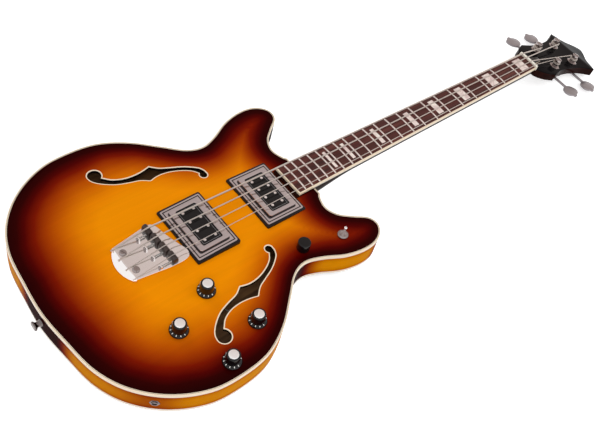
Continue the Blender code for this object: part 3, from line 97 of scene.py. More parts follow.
world = bpy.data.worlds.new("sweep")
world.use_nodes = True
bpy.context.scene.world = world
tree = world.node_tree
sky = tree.nodes["Background"]
tree.links.new(mapped(tree, seen_directly(tree), WORLD_LIGHT, 1.0), sky.inputs["Strength"])
sky.inputs["Color"].default_value = (1.0, 1.0, 1.0, 1.0)
for name, spot, size, power in LAMPS:
    lamp_data = bpy.data.lights.new(name, "AREA")
    lamp_data.shape = "DISK"
    lamp_data.size = size
    lamp_data.energy = power
    lamp = bpy.data.objects.new(name, lamp_data)
    aim = LAMP_TARGET - Vector(spot)
    lamp.matrix_world = Matrix.Translation(spot) @ aim.to_track_quat("-Z", "Y").to_matrix().to_4x4()
    lamp.visible_glossy = False
    bpy.context.scene.collection.objects.link(lamp)

# Grey card. A large glowing board above the bass that only reflections see, so that flat chrome
# isn't white. It is brighter along one edge than along the other.
CARD_AT = Vector((1.0, 0.70, 1.35))
CARD_AIM = Vector((-0.40, -0.42, -0.815))
CARD_SHIFT = (-0.8, -0.95, 0)
CARD_SIZE = 4.0
CARD_COLOUR = (0.77, 0.67, 0.63, 1.0)
CARD_GLOW = (1.15, 0.75)


def bare_finish(name):
    """A material that has no shader yet, and its tree."""
    finish = bpy.data.materials.new(name)
    finish.use_nodes = True
    finish.node_tree.nodes.remove(finish.node_tree.nodes["Principled BSDF"])
    return finish, finish.node_tree


def sheet(name, size, finish, place=Matrix.Identity(4)):
    """A flat square of the studio."""
    bm = bmesh.new()
    bmesh.ops.create_grid(bm, x_segments=1, y_segments=1, size=size / 2)
    bmesh.ops.transform(bm, verts=bm.verts[:], matrix=place)
    mesh = bpy.data.meshes.new(name)
    bm.to_mesh(mesh)
    bm.free()
    mesh.materials.append(finish)
    square = bpy.data.objects.new(name, mesh)
    bpy.context.scene.collection.objects.link(square)
    return square


card_finish, tree = bare_finish("grey_card")
spots = add_node(tree, "TexCoord").outputs["Object"]
over = add_node(tree, "SeparateXYZ", {0: spots}).outputs["X"]
fade = mapped(tree, over, *CARD_GLOW, -CARD_SIZE / 2, CARD_SIZE / 2)
glow = add_node(tree, "Emission", {"Color": CARD_COLOUR, "Strength": fade})
tree.links.new(glow.outputs[0], tree.nodes["Material Output"].inputs["Surface"])
card = sheet("grey_card", CARD_SIZE, card_finish)
card.matrix_world = Matrix.Translation(CARD_AT) @ CARD_AIM.to_track_quat("-Z", "Y").to_matrix().to_4x4()
card.matrix_world @= Matrix.Translation(CARD_SHIFT)
card.visible_camera = False
card.visible_diffuse = False
card.visible_shadow = False
card.visible_transmission = False

# Floor. White paper on which the bass lies on its back. It touches the arched back and the
# headstock's underside, and keeps a faint shadow.
FLOOR_SIZE = 12.0
BACK_REST = Vector((-0.083, 0.0, 0.0))
NECK_ONLY = 0.3
PAPER = (0.86, 0.86, 0.86, 1.0)
PAPER_LIFT = 0.60


def placed(spot, turn, axis):
    """A place in the model, turned about one axis."""
    return Matrix.Translation(spot) @ Matrix.Rotation(turn, 4, axis)


floor_finish, tree = bare_finish("white_sweep")
paper = add_node(tree, "BsdfDiffuse", {"Color": PAPER})
glow = add_node(tree, "Emission", {"Strength": maths(tree, "MULTIPLY", seen_directly(tree), PAPER_LIFT)})
both = add_node(tree, "AddShader", {0: paper.outputs[0], 1: glow.outputs[0]})
tree.links.new(both.outputs[0], tree.nodes["Material Output"].inputs["Surface"])
lowest = [v.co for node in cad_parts.values() for v in node.data.vertices if v.co.x > NECK_ONLY]
fall = min((p.z - BACK_REST.z) / (p.x - BACK_REST.x) for p in lowest)
floor = sheet("floor", FLOOR_SIZE, floor_finish, placed(BACK_REST, -math.atan(fall), "Y"))

# Top. A plate of laminated maple, pressed to a low arch and glued over the rim, with two f-holes
# and two pickup cavities sawn through it. Its burst is sprayed from amber to near black at the
# edge, under clear gloss lacquer.
RIM_BASE = 0.008
RIM_TOP = 0.050
TOP_ARCH = 0.008
ARCH_RUN = 0.150
NECK_FALL = 0.170
BODY_FRONT = 0.250
PLATE = 0.005
BINDING_WIDTH = 0.0026
GAP = 0.0003
PLATE_GRID = 0.006
GRID_SLACK = 1e-5
CORNER_STEPS = 6
CURVE_STEPS = 6
CREASE = math.radians(35)
BODY_HALF = [
    (-0.180, 0.000), (-0.176, 0.050), (-0.168, 0.103), (-0.148, 0.145), (-0.112, 0.181),
    (-0.065, 0.204), (-0.020, 0.2088), (0.025, 0.2035), (0.066, 0.183), (0.103, 0.152),
    (0.130, 0.129), (0.153, 0.1215), (0.178, 0.128), (0.212, 0.144), (0.245, 0.1505),
    (0.271, 0.146), (0.287, 0.130), (0.285, 0.112), (0.265, 0.096), (0.248, 0.081),
    (0.241, 0.063), (0.246, 0.044), (BODY_FRONT, 0.039),
]
F_LOWER_EYE = (-0.0095, 0.1525)
F_LOWER_EYE_R = 0.0115
F_UPPER_EYE = (0.1235, 0.0765)
F_UPPER_EYE_R = 0.0070
F_INNER = [(-0.0210, 0.1525), (-0.0195, 0.1455), (-0.0150, 0.1385), (-0.006, 0.130),
           (0.007, 0.1215), (0.024, 0.1155), (0.040, 0.111), (0.0515, 0.1035), (0.066, 0.1065),
           (0.082, 0.105), (0.099, 0.099), (0.1125, 0.0905), (0.1190, 0.0820)]
F_OUTER = [(0.1305, 0.0765), (0.1300, 0.0830), (0.1255, 0.0915), (0.108, 0.1045), (0.0895, 0.113),
           (0.076, 0.1195), (0.065, 0.1295), (0.051, 0.1265), (0.037, 0.1255), (0.0215, 0.1275),
           (0.007, 0.134), (-0.0022, 0.1436)]
F_INNER_NOTCH = 7
F_OUTER_NOTCH = 6
PICKUP_X = (0.059, 0.1785)
PLATE_LONG = 0.049
PLATE_WIDE = 0.078
CAVITY_ROOM = 0.0015
CAVITY_CORNER = 0.004
# Distance from the edge, and the burst's colour there.
BURST = [(0.000, (30, 1, 1)), (0.014, (46, 1, 1)), (0.024, (76, 2, 1)), (0.037, (118, 20, 1)),
         (0.052, (158, 56, 1)), (0.066, (184, 81, 1)), (0.080, (205, 103, 1)), (0.098, (224, 124, 1)),
         (0.120, (237, 139, 1))]
BURST_REACH = 0.120
SPRAY_DRIFT = 0.008
DENT_DEPTH = 0.00001


def smooth_path(points, steps):
    """Points on a smooth curve through the given ones, ends included."""
    spots = [Vector((*p, 0)) for p in points]
    slopes = []
    for i, spot in enumerate(spots):
        ahead = spots[min(i + 1, len(spots) - 1)]
        behind = spots[max(i - 1, 0)]
        slopes.append((ahead - behind).normalized())
    path = []
    for a, b, sa, sb in zip(spots, spots[1:], slopes, slopes[1:]):
        reach = (b - a).length / 3
        path += geometry.interpolate_bezier(a, a + sa * reach, b - sb * reach, b, steps + 1)[:-1]
    path.append(spots[-1])
    return [(p.x, p.y) for p in path]


def grow(outline, distance):
    """The outline moved outwards by a distance, or inwards where it is negative."""
    wider = []
    count = len(outline)
    for i, here in enumerate(outline):
        d0 = (Vector(here) - Vector(outline[i - 1])).normalized()
        d1 = (Vector(outline[(i + 1) % count]) - Vector(here)).normalized()
        side = Vector((d0.y + d1.y, -d0.x - d1.x)).normalized()
        stretch = 1 / max(0.5, side.dot(Vector((d0.y, -d0.x))))
        wider.append(tuple(Vector(here) + side * distance * stretch))
    return wider


def mirrored(points):
    """The same points on the other side of the centre line."""
    return [(x, -y) for x, y in points]


def on_circle(radius, angle, x=0.0, y=0.0):
    """A point on a circle about a centre."""
    return x + radius * math.cos(angle), y + radius * math.sin(angle)


def rounded(half_x, half_y, corner):
    """A rectangle with round corners about the origin."""
    outline = []
    for sx, sy, start in ((1, 1, 0), (-1, 1, 90), (-1, -1, 180), (1, -1, 270)):
        for k in range(CORNER_STEPS + 1):
            turn = math.radians(start + 90 * k / CORNER_STEPS)
            outline.append(on_circle(corner, turn, sx * (half_x - corner), sy * (half_y - corner)))
    return outline


def ease(share):
    """A share held between 0 and 1, with a soft start and end."""
    share = min(max(share, 0.0), 1.0)
    return share * share * (3 - 2 * share)


TAIL_TURN = mirrored(BODY_HALF[1:2])
BASS_SIDE = smooth_path(TAIL_TURN + BODY_HALF, 8)[8:]
BODY = mirrored(BASS_SIDE) + BASS_SIDE[:0:-1]
edge_points = smooth_path(BODY + BODY[:1], 5)
edge_tree = kdtree.KDTree(len(edge_points))
for index, (x, y) in enumerate(edge_points):
    edge_tree.insert((x, y, 0), index)
edge_tree.balance()


def edge_distance(x, y):
    """Distance from a point to the body's outline."""
    return edge_tree.find((x, y, 0))[2]


def top_z(x, y):
    """Height of the arched top."""
    fall = ease((BODY_FRONT - x) / NECK_FALL) ** 2
    return RIM_TOP + TOP_ARCH * ease(edge_distance(x, y) / ARCH_RUN) * fall


def f_hole(shrink, side):
    """One f-hole's outline, drawn in by a distance. Side is 1 for the bass one and -1 for its mirror."""
    def edge(knots, notch):
        return smooth_path(knots[:notch + 1], CURVE_STEPS)[:-1] + smooth_path(knots[notch:], CURVE_STEPS)

    def eye(centre, radius, start, end):
        first = math.atan2(start[1] - centre[1], start[0] - centre[0])
        turn = (math.atan2(end[1] - centre[1], end[0] - centre[0]) - first) % (2 * math.pi)
        steps = round(turn / math.radians(12))
        return [on_circle(radius, first + turn * k / steps, *centre) for k in range(1, steps)]

    inner = edge(F_INNER, F_INNER_NOTCH)
    outer = edge(F_OUTER, F_OUTER_NOTCH)
    upper = eye(F_UPPER_EYE, F_UPPER_EYE_R, inner[-1], outer[0])
    lower = eye(F_LOWER_EYE, F_LOWER_EYE_R, outer[-1], inner[0])
    return [(x, side * y) for x, y in grow(inner + upper + outer + lower, -shrink)]


def cut(bm, spot, way, **settings):
    """Cuts the whole mesh along a plane."""
    return bmesh.ops.bisect_plane(bm, geom=bm.verts[:] + bm.edges[:] + bm.faces[:], plane_co=spot,
                                  plane_no=way, **settings)


def gridded(outline, holes, spacing):
    """A flat sheet over an outline with holes in it, cut into a grid so that it can be arched."""
    def off_grid(edge):
        a, b = (vert.co for vert in edge.verts)
        return min(abs(math.remainder(a[k], spacing)) + abs(math.remainder(b[k], spacing))
                   + abs(a[k] - b[k]) for k in (0, 1))

    bm = bmesh.new()
    for loop in [outline] + holes:
        verts = [bm.verts.new((x, y, 0)) for x, y in loop]
        for a, b in zip(verts, verts[1:] + verts[:1]):
            bm.edges.new((a, b))
    bmesh.ops.triangle_fill(bm, edges=bm.edges[:], use_beauty=True, normal=(0, 0, 1))
    for axis in (0, 1):
        first = math.ceil(min(p[axis] for p in outline) / spacing)
        last = math.floor(max(p[axis] for p in outline) / spacing)
        direction = Vector((1 - axis, axis, 0))
        for k in range(first, last + 1):
            cut(bm, direction * spacing * k, direction, dist=GRID_SLACK)
    spare = [e for e in bm.edges if not e.is_boundary and off_grid(e) > GRID_SLACK]
    bmesh.ops.dissolve_limit(bm, angle_limit=math.radians(1), verts=bm.verts[:], edges=spare)
    return bm


def arched_plate(bm, low, high):
    """Turns a flat sheet into a plate between two height functions."""
    grown = bmesh.ops.extrude_face_region(bm, geom=bm.faces[:], use_keep_orig=True)
    upper = {v for v in grown["geom"] if isinstance(v, bmesh.types.BMVert)}
    for vert in bm.verts:
        vert.co.z = (high if vert in upper else low)(vert.co.x, vert.co.y)
    return bm


def add_piece(name, bm, finishes, body, nodes=()):
    """Puts a mesh in the scene as a piece that rides on a body and stands for CAD nodes."""
    bmesh.ops.recalc_face_normals(bm, faces=bm.faces[:])
    mesh = bpy.data.meshes.new(name)
    bm.to_mesh(mesh)
    bm.free()
    mesh.shade_smooth()
    mesh.set_sharp_from_angle(angle=CREASE)
    for finish in finishes:
        mesh.materials.append(finish)
    piece = bpy.data.objects.new(name, mesh)
    bpy.context.scene.collection.objects.link(piece)
    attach(piece, body)
    if nodes:
        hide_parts(*nodes)
    return piece


def store(piece, label, values):
    """Keeps one number on each vertex, which the piece's material reads."""
    piece.data.attributes.new(label, "FLOAT", "POINT").data.foreach_set("value", values)


def mark_burst(piece, measure):
    """Stores how far each vertex lies from the edge, for the sprayed colours to follow."""
    store(piece, "burst", [measure(*v.co) for v in piece.data.vertices])


def burst_depth(x, y, z):
    """Distance from the edge, stretched at the waist and the horns, where the burst is narrower."""
    waist = 0.50 * ease((x + 0.03) / 0.12) - 0.30 * ease((x - 0.17) / 0.08)
    return edge_distance(x, y) * (1 + waist)


def noise(tree, spots, scale, detail, **more):
    """Cloudy noise over the surface."""
    values = {"Vector": spots, "Scale": scale, "Detail": detail, **more}
    return add_node(tree, "TexNoise", values).outputs[0]


def group_of(name, inputs, outputs):
    """An empty node group, and the sockets of its two ends. Each input has its kind and its value."""
    group = bpy.data.node_groups.new(name, "ShaderNodeTree")
    for label, kind, value in inputs:
        socket = group.interface.new_socket(label, in_out="INPUT", socket_type="NodeSocket" + kind)
        if value is not None:
            socket.default_value = value
    for label in outputs:
        group.interface.new_socket(label, in_out="OUTPUT", socket_type="NodeSocketFloat")
    return group, group.nodes.new("NodeGroupInput").outputs, group.nodes.new("NodeGroupOutput").inputs


# Grain lines and pores along X. Streaks is the tint, Pores the fine dark dashes.
grain_group, given, result = group_of(
    "wood_grain", [("Vector", "Vector", None), ("Stretch", "Vector", (4, 90, 90))], ["Streaks", "Pores"])
along = add_node(grain_group, "Mapping", {"Vector": given["Vector"], "Scale": given["Stretch"]}).outputs[0]
fine = add_node(grain_group, "VectorMath", {0: along, 1: (9.0, 8.0, 8.0)}, operation="MULTIPLY")
pores = mapped(grain_group, noise(grain_group, fine.outputs[0], 1.0, 2.0), 0.0, 1.0, 0.56, 0.70)
grain_group.links.new(noise(grain_group, along, 1.0, 4.0, Distortion=0.4), result["Streaks"])
grain_group.links.new(pores, result["Pores"])

# Polish marks: a slow change of roughness, and faint dents in the surface.
polish_group, given, result = group_of(
    "polish", [("Vector", "Vector", None), ("Smooth", "Float", 0.05), ("Worn", "Float", 0.12)],
    ["Roughness", "Height"])
smears = noise(polish_group, given["Vector"], 14.0, 5.0, Roughness=0.6)
rough = mapped(polish_group, smears, given["Smooth"], given["Worn"], 0.35, 0.75)
polish_group.links.new(rough, result["Roughness"])
polish_group.links.new(noise(polish_group, given["Vector"], 420.0, 2.0), result["Height"])


def start_finish(name, **settings):
    """A material with its shader's plain values set, its tree, shader and Object coordinates."""
    finish = bpy.data.materials.new(name)
    finish.use_nodes = True
    tree = finish.node_tree
    shader = tree.nodes["Principled BSDF"]
    for key, value in settings.items():
        shader.inputs[key.replace("_", " ")].default_value = value
    return finish, tree, shader, add_node(tree, "TexCoord").outputs["Object"]


def polished(tree, shader, spots, smooth, worn, dents=DENT_DEPTH):
    """Adds the polish marks to a material."""
    marks = add_node(tree, "Group", {"Vector": spots, "Smooth": smooth, "Worn": worn},
                     node_tree=polish_group).outputs
    tree.links.new(marks["Roughness"], shader.inputs["Roughness"])
    bump = add_node(tree, "Bump", {"Strength": 0.25, "Distance": dents, "Height": marks["Height"]})
    tree.links.new(bump.outputs[0], shader.inputs["Normal"])


def grained(tree, spots, stretch):
    """The grain of one wood, at its own scale."""
    grain = add_node(tree, "Group", {"Vector": spots, "Stretch": stretch}, node_tree=grain_group)
    return grain.outputs["Streaks"], grain.outputs["Pores"]


def linear(red, green, blue):
    """A colour read from 0 to 255, as the shader's linear values."""
    shares = (red / 255, green / 255, blue / 255)
    return tuple(s / 12.92 if s <= 0.04045 else ((s + 0.055) / 1.055) ** 2.4 for s in shares) + (1.0,)


def ramp(tree, value, stops):
    """Colours from 0 to 255 at places from 0 to 1."""
    node = add_node(tree, "ValToRGB", {0: value})
    marks = node.color_ramp.elements
    while len(marks) < len(stops):
        marks.new(0.5)
    for mark, (place, colour) in zip(marks, stops):
        mark.position = place
        mark.color = linear(*colour)
    return node.outputs["Color"]


def multiplied(tree, colour, by):
    """A colour multiplied by another colour or by a value."""
    return add_node(tree, "Mix", {"Factor": 1.0, "A": colour, "B": by}, data_type="RGBA",
                    blend_type="MULTIPLY").outputs["Result"]


def tinted(tree, colour, factor, low, high):
    """A colour made darker and lighter by a value that changes over the surface."""
    return multiplied(tree, colour, mapped(tree, factor, low, high))


def sunburst(name, coat, tint=(1.0, 1.0, 1.0, 1.0)):
    """The sprayed colours, with a tint over all of them, under a clear coat of lacquer."""
    finish, tree, shader, spots = start_finish(name, Coat_Weight=coat, Coat_Roughness=0.03,
                                               Coat_IOR=1.12, Specular_IOR_Level=0.0)
    depth = add_node(tree, "Attribute", attribute_name="burst").outputs["Fac"]
    drift = mapped(tree, noise(tree, spots, 9.0, 2.0), -SPRAY_DRIFT, SPRAY_DRIFT)
    share = maths(tree, "DIVIDE", maths(tree, "ADD", depth, drift), BURST_REACH)
    sprayed = multiplied(tree, ramp(tree, share, [(d / BURST_REACH, shade) for d, shade in BURST]), tint)
    streaks = grained(tree, spots, (5, 150, 150))[0]
    tree.links.new(tinted(tree, sprayed, streaks, 0.90, 1.08), shader.inputs["Base Color"])
    polished(tree, shader, spots, 0.30, 0.42)
    return finish


burst_finish = sunburst("sunburst", 0.6)
top_outline = grow(BODY, -(BINDING_WIDTH + GAP))
holes = [f_hole(0, side) for side in (1, -1)]
for x in PICKUP_X:
    room = rounded(PLATE_LONG / 2 + CAVITY_ROOM, PLATE_WIDE / 2 + CAVITY_ROOM, CAVITY_CORNER)
    holes.append([(x + a, b) for a, b in room])
top_sheet = arched_plate(gridded(top_outline, holes, PLATE_GRID),
                         lambda x, y: top_z(x, y) - PLATE, top_z)
arched_top = add_piece("arched_top", top_sheet, [burst_finish], "root", ["top_plate"])
mark_burst(arched_top, burst_depth)

# Bindings. Strips of aged cream plastic, bent round both edges of the body and glued in, with a
# thin black line beside the cream. Their outer corner is scraped round.
EDGE_SOFT = 0.0007
LINE_START = 0.0015
LINE_END = 0.0019


def softened(points, reach):
    """A run of points with each inner corner rounded off."""
    spots = [Vector(p) for p in points]
    path = [spots[0]]
    for before, here, after in zip(spots, spots[1:], spots[2:]):
        back = min(reach, (here - before).length * 0.45)
        ahead = min(reach, (after - here).length * 0.45)
        first = here + (before - here).normalized() * back
        last = here + (after - here).normalized() * ahead
        path += [first, (first + here * 2 + last) / 4, last]
    return path + [spots[-1]]


def skin(rings, closed=False, marks=None):
    """Walls between successive rings of points, with an end cap at both ends of an open run."""
    bm = bmesh.new()
    verts = [bm.verts.new(p) for p in rings[0]]
    edges = [bm.edges.new(pair) for pair in zip(verts, verts[1:] + verts[:1])]
    first = edges
    for number, ring in enumerate(rings[1:] + (rings[:1] if closed else [])):
        made = bmesh.ops.extrude_edge_only(bm, edges=edges)["geom"]
        for face in made:
            if isinstance(face, bmesh.types.BMFace):
                face.material_index = marks[number] if marks else 0
        fresh = {v for v in made if isinstance(v, bmesh.types.BMVert)}
        verts = [next(e.other_vert(v) for e in v.link_edges if e.other_vert(v) in fresh) for v in verts]
        for vert, spot in zip(verts, ring):
            vert.co = spot
        edges = [bm.edges.get(pair) for pair in zip(verts, verts[1:] + verts[:1])]
    if closed:
        bmesh.ops.remove_doubles(bm, verts=bm.verts[:], dist=1e-7)
    else:
        for loop in (first, edges):
            bmesh.ops.contextual_create(bm, geom=loop)["faces"][0].material_index = 0
    return bm


def edge_rings(outline, profile):
    """Rings round an outline, from pairs of distance inwards and height."""
    return [[(x, y, z) for x, y in (grow(outline, -inset) if inset else outline)]
            for inset, z in profile]


def plain_finish(name, colour, smooth, worn, **settings):
    """A finish of one colour with polish marks."""
    finish, tree, shader, spots = start_finish(name, Base_Color=colour, **settings)
    polished(tree, shader, spots, smooth, worn)
    return finish


cream_finish = plain_finish("cream_plastic", linear(240, 220, 192), 0.16, 0.30, Coat_Weight=0.5,
                            Coat_Roughness=0.05)
black_finish = plain_finish("black_plastic", linear(14, 12, 13), 0.08, 0.20, Specular_IOR_Level=0.3)
for name, z, way in (("top_binding", RIM_TOP, -1), ("back_binding", RIM_BASE, 1)):
    strip = [(0, z + way * PLATE), (0, z + way * EDGE_SOFT), (EDGE_SOFT * 0.3, z + way * EDGE_SOFT * 0.3),
             (EDGE_SOFT, z), (LINE_START, z), (LINE_END, z), (BINDING_WIDTH, z),
             (BINDING_WIDTH, z + way * PLATE)]
    strip = skin(edge_rings(BODY, strip), closed=True, marks=[0, 0, 0, 0, 1, 0, 0, 0])
    add_piece(name + "_strip", strip, [cream_finish, black_finish], "root", [name])

# Sides. One bent strip of maple, 3 mm thick, with linings glued inside along both edges. It is
# sprayed like the top: dark at the waists, the cutaways and the tail, amber between.
RIM_WALL = 0.003
LINING_WIDTH = 0.006
LINING_HEIGHT = 0.0075
LINING_SLOPE = 1.3
RIM_DARK = 0.012
RIM_AMBER = 0.098
SIDE_STEPS = 6
SIDE_TINT = (0.92, 1.22, 1.0, 1.0)
# Where the sides are dark, how far that fades, and how strong it is at the bout and the edges.
SIDE_FADE = 0.045
TAIL_PART = (-0.12, 0.028)
WAIST_PART = (0.132, 0.012, 0.1)
HORN_PART = (0.250, 0.03, 0.12)
CUTAWAY_PART = (0.235, 0.125)
BOUT_PART = (-0.128, 0.45)
EDGE_PART = (0.009, 0.35)


def side_depth(x, y, z):
    """How light the spray is on the sides, in the measure that the top uses."""
    aside = abs(y)
    end, half = TAIL_PART
    tail = 1 - ease((aside - half) / SIDE_FADE) if x < end else 0.0
    middle, half, least = WAIST_PART
    waist = 1 - ease((abs(x - middle) - half) / SIDE_FADE) if aside > least else 0.0
    start, fade, least = HORN_PART
    horn = ease((x - start) / fade) if aside > least else 0.0
    start, most = CUTAWAY_PART
    cutaway = 1.0 if x > start and aside < most else 0.0
    middle, strength = BOUT_PART
    bout = strength * (1 - ease(abs(x - middle) / SIDE_FADE))
    fade, strength = EDGE_PART
    edge = strength * (1 - ease((min(z - RIM_BASE, RIM_TOP - z) - PLATE) / fade))
    shade = max(tail, waist, horn, cutaway, bout)
    return RIM_DARK + (RIM_AMBER - RIM_DARK) * (1 - shade) * (1 - edge)


def wood_finish(name, stretch, stops, polish=None, pore_shade=None, **settings):
    """A wood in its own grain and colours. Polish marks and darker pores are added where given."""
    finish, tree, shader, spots = start_finish(name, **settings)
    streaks, pores = grained(tree, spots, stretch)
    colour = ramp(tree, streaks, stops)
    if pore_shade:
        colour = tinted(tree, colour, pores, 1.0, pore_shade)
    tree.links.new(colour, shader.inputs["Base Color"])
    if polish:
        polished(tree, shader, spots, *polish)
    return finish


maple_finish = wood_finish("bare_maple", (5, 120, 120), [(0.30, (92, 62, 38)), (0.70, (150, 110, 72))],
                           Roughness=0.55)
side_finish = sunburst("sunburst_sides", 0.1, SIDE_TINT)
low = RIM_BASE + PLATE - GAP / 3
high = RIM_TOP - PLATE + GAP / 3
lining = RIM_WALL + LINING_WIDTH
slope = LINING_HEIGHT * LINING_SLOPE
outside = [(0, low + (high - low) * k / SIDE_STEPS) for k in range(SIDE_STEPS + 1)]
inside = [(lining, high), (lining, high - LINING_HEIGHT), (RIM_WALL, high - slope),
          (RIM_WALL, low + slope), (lining, low + LINING_HEIGHT), (lining, low)]
strip = skin(edge_rings(BODY, outside + inside), closed=True, marks=[0] * SIDE_STEPS + [1] * 7)
sides = add_piece("sides", strip, [side_finish, maple_finish], "root", ["rim"])
mark_burst(sides, side_depth)

# Back. A pressed maple plate like the top, with a flat middle that the body rests on. It has the
# same burst outside and bare wood inside, which shows through the f-holes.
BACK_ARCH = 0.008
BACK_RUN = 0.105
FACES_IN = 0.3


def back_z(x, y):
    """Height of the back's outer face."""
    return RIM_BASE - BACK_ARCH * ease(edge_distance(x, y) / BACK_RUN)


back_sheet = arched_plate(gridded(grow(BODY, -BINDING_WIDTH), [], PLATE_GRID), back_z,
                          lambda x, y: back_z(x, y) + PLATE)
arched_back = add_piece("arched_back", back_sheet, [burst_finish, maple_finish], "root",
                        ["back_plate"])
mark_burst(arched_back, burst_depth)
arched_top.data.materials.append(maple_finish)
for piece, way in ((arched_back, 1), (arched_top, -1)):
    for face in piece.data.polygons:
        face.material_index = int(face.normal.z * way > FACES_IN)

# F-hole bindings. Cream strips bent round the inside of both f-holes and scraped level. Below the cream
# edge their walls are black, as painted shade inside the holes.
F_BINDING = 0.0016
F_SOFT = 0.0003
F_CREAM = 0.0008
F_PROUD = 0.00005
for name, side in (("bass", 1), ("treble", -1)):
    strip = [(0, -PLATE), (0, F_PROUD), (F_BINDING - F_SOFT, F_PROUD), (F_BINDING, -F_SOFT),
             (F_BINDING, -F_CREAM), (F_BINDING, -PLATE)]
    rings = [[(x, y, top_z(x, y) + rise) for x, y in f_hole(shrink, side)] for shrink, rise in strip]
    # Faces marked 1, the walls below the cream edge, are black as painted shade.
    strip = skin(rings, closed=True, marks=[0, 0, 0, 0, 1, 1])
    add_piece("f_hole_strip_" + name, strip, [cream_finish, black_finish], "root",
              ["f_hole_binding_" + name])

# Centre block, potentiometers and truss rod. They are held inside, and show only through the
# f-holes, so the frame's own solids carry the bare wood and the plain zinc-coated steel.
steel_finish = plain_finish("plain_steel", (0.50, 0.49, 0.47, 1), 0.28, 0.45, Metallic=1.0)
for name, finish in (("centre_block", maple_finish), ("potentiometers", steel_finish),
                     ("truss_rod", steel_finish)):
    for material_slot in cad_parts[name].material_slots:
        material_slot.material = finish

# Neck. One shaft of dark lacquered wood, carved round below, with a heel that is glued to the body
# and a headstock that leans back from a thickened volute.
SCALE = 0.781
NECK_PITCH = math.radians(2.0)
BOARD_RISE = 0.0157
BOARD_END = 0.2185
BOARD_THICK = 0.0055
BOARD_END_WIDTH = 0.0562
NUT_WIDTH = 0.0408
NUT_THICK = 0.0045
HEEL_DEPTH = 0.039
SHAFT_DEPTH = 0.0150
HEEL_FADE = 0.080
TONGUE_START = 0.2150
STATIONS = 60
STATION_SPREAD = 1.4
RING_STEPS = 24
RING_POWER = 0.8
NUT_STEP = 0.0006
HEAD_PITCH = math.radians(14.0)
HEAD_DROP = 0.004
HEAD_THICK = 0.015
OVERLAY = 0.0015
VOLUTE_RUN = 0.014
VOLUTE_SINK = 0.0020
VOLUTE_DEPTH = 0.0120
VOLUTE_NARROW = 0.0010
HEAD_SOFT = 0.0012
HEAD_SHOULDER = [(0.0004, 0.0206), (0.006, 0.0280), (0.0194, 0.0368), (0.0375, 0.0434)]
HEAD_WAIST = [
    (0.0375, 0.0434), (0.052, 0.0398), (0.068, 0.0370), (0.090, 0.0366), (0.1168, 0.0388),
    (0.1429, 0.0449), (0.1675, 0.0555),
]
HEAD_END = [
    (0.1675, 0.0555), (0.172, 0.0450), (0.1755, 0.0345), (0.181, 0.0255), (0.189, 0.0170),
    (0.196, 0.0085), (0.1995, 0.000), (0.196, -0.0085),
]
HEAD_ORIGIN = SCALE + NUT_THICK + GAP
NECK_TOP = -(BOARD_THICK + GAP / 2)
NECK = placed((0, 0, RIM_TOP + BOARD_RISE), NECK_PITCH, "Y")
HEAD = NECK @ Matrix.Translation((HEAD_ORIGIN, 0, -HEAD_DROP)) @ Matrix.Rotation(HEAD_PITCH, 4, "Y")


def along_board(x):
    """How far along the fretboard a place lies, from 0 at its end on the body to 1 at the nut."""
    return (x - BOARD_END) / (SCALE - BOARD_END)


def board_half(x):
    """Half the fretboard's width over its binding."""
    return (BOARD_END_WIDTH + (NUT_WIDTH - BOARD_END_WIDTH) * along_board(x)) / 2


def neck_ring(x, half, top, depth):
    """One cross-section of the neck: flat above and round below."""
    turns = [math.pi * k / RING_STEPS for k in range(RING_STEPS + 1)]
    return [(x, half * math.cos(a), top - depth * math.sin(a) ** RING_POWER) for a in turns]


def moved(bm, frame_matrix):
    """The whole mesh carried into the model's frame."""
    bmesh.ops.transform(bm, matrix=frame_matrix, verts=bm.verts[:])
    return bm


def gather(bm, *others):
    """Adds other meshes to one and frees them."""
    for other in others:
        spare = bpy.data.meshes.new("spare")
        other.to_mesh(spare)
        other.free()
        bm.from_mesh(spare)
        bpy.data.meshes.remove(spare)
    return bm


def painted(bm, finish):
    """The mesh with every face given one finish."""
    for face in bm.faces:
        face.material_index = finish
    return bm


def prism(outline, low, high, soft=0.0, finish=0):
    """A straight block over an outline, with its upper edge rounded."""
    bm = bmesh.new()
    corners = [bm.verts.new((x, y, low)) for x, y in outline]
    border = [bm.edges.new(pair) for pair in zip(corners, corners[1:] + corners[:1])]
    face = bmesh.ops.contextual_create(bm, geom=border)["faces"][0]
    wall = bmesh.ops.extrude_face_region(bm, geom=[face], use_keep_orig=True)["geom"]
    upper = [v for v in wall if isinstance(v, bmesh.types.BMVert)]
    bmesh.ops.translate(bm, verts=upper, vec=(0, 0, high - low))
    if soft:
        rim_edges = [e for e in wall if isinstance(e, bmesh.types.BMEdge)]
        bmesh.ops.bevel(bm, geom=rim_edges, offset=soft, affect="EDGES", segments=3, profile=0.5,
                        material=-1, clamp_overlap=True)
    return painted(bm, finish)


def box(low, high, soft=0.0, finish=0):
    """A block between two corners."""
    outline = [(low[0], low[1]), (high[0], low[1]), (high[0], high[1]), (low[0], high[1])]
    return prism(outline, low[2], high[2], soft, finish)


def both_halves(half):
    """A whole outline from one half, which ends on the centre line."""
    return half + mirrored(half)[-2::-1]


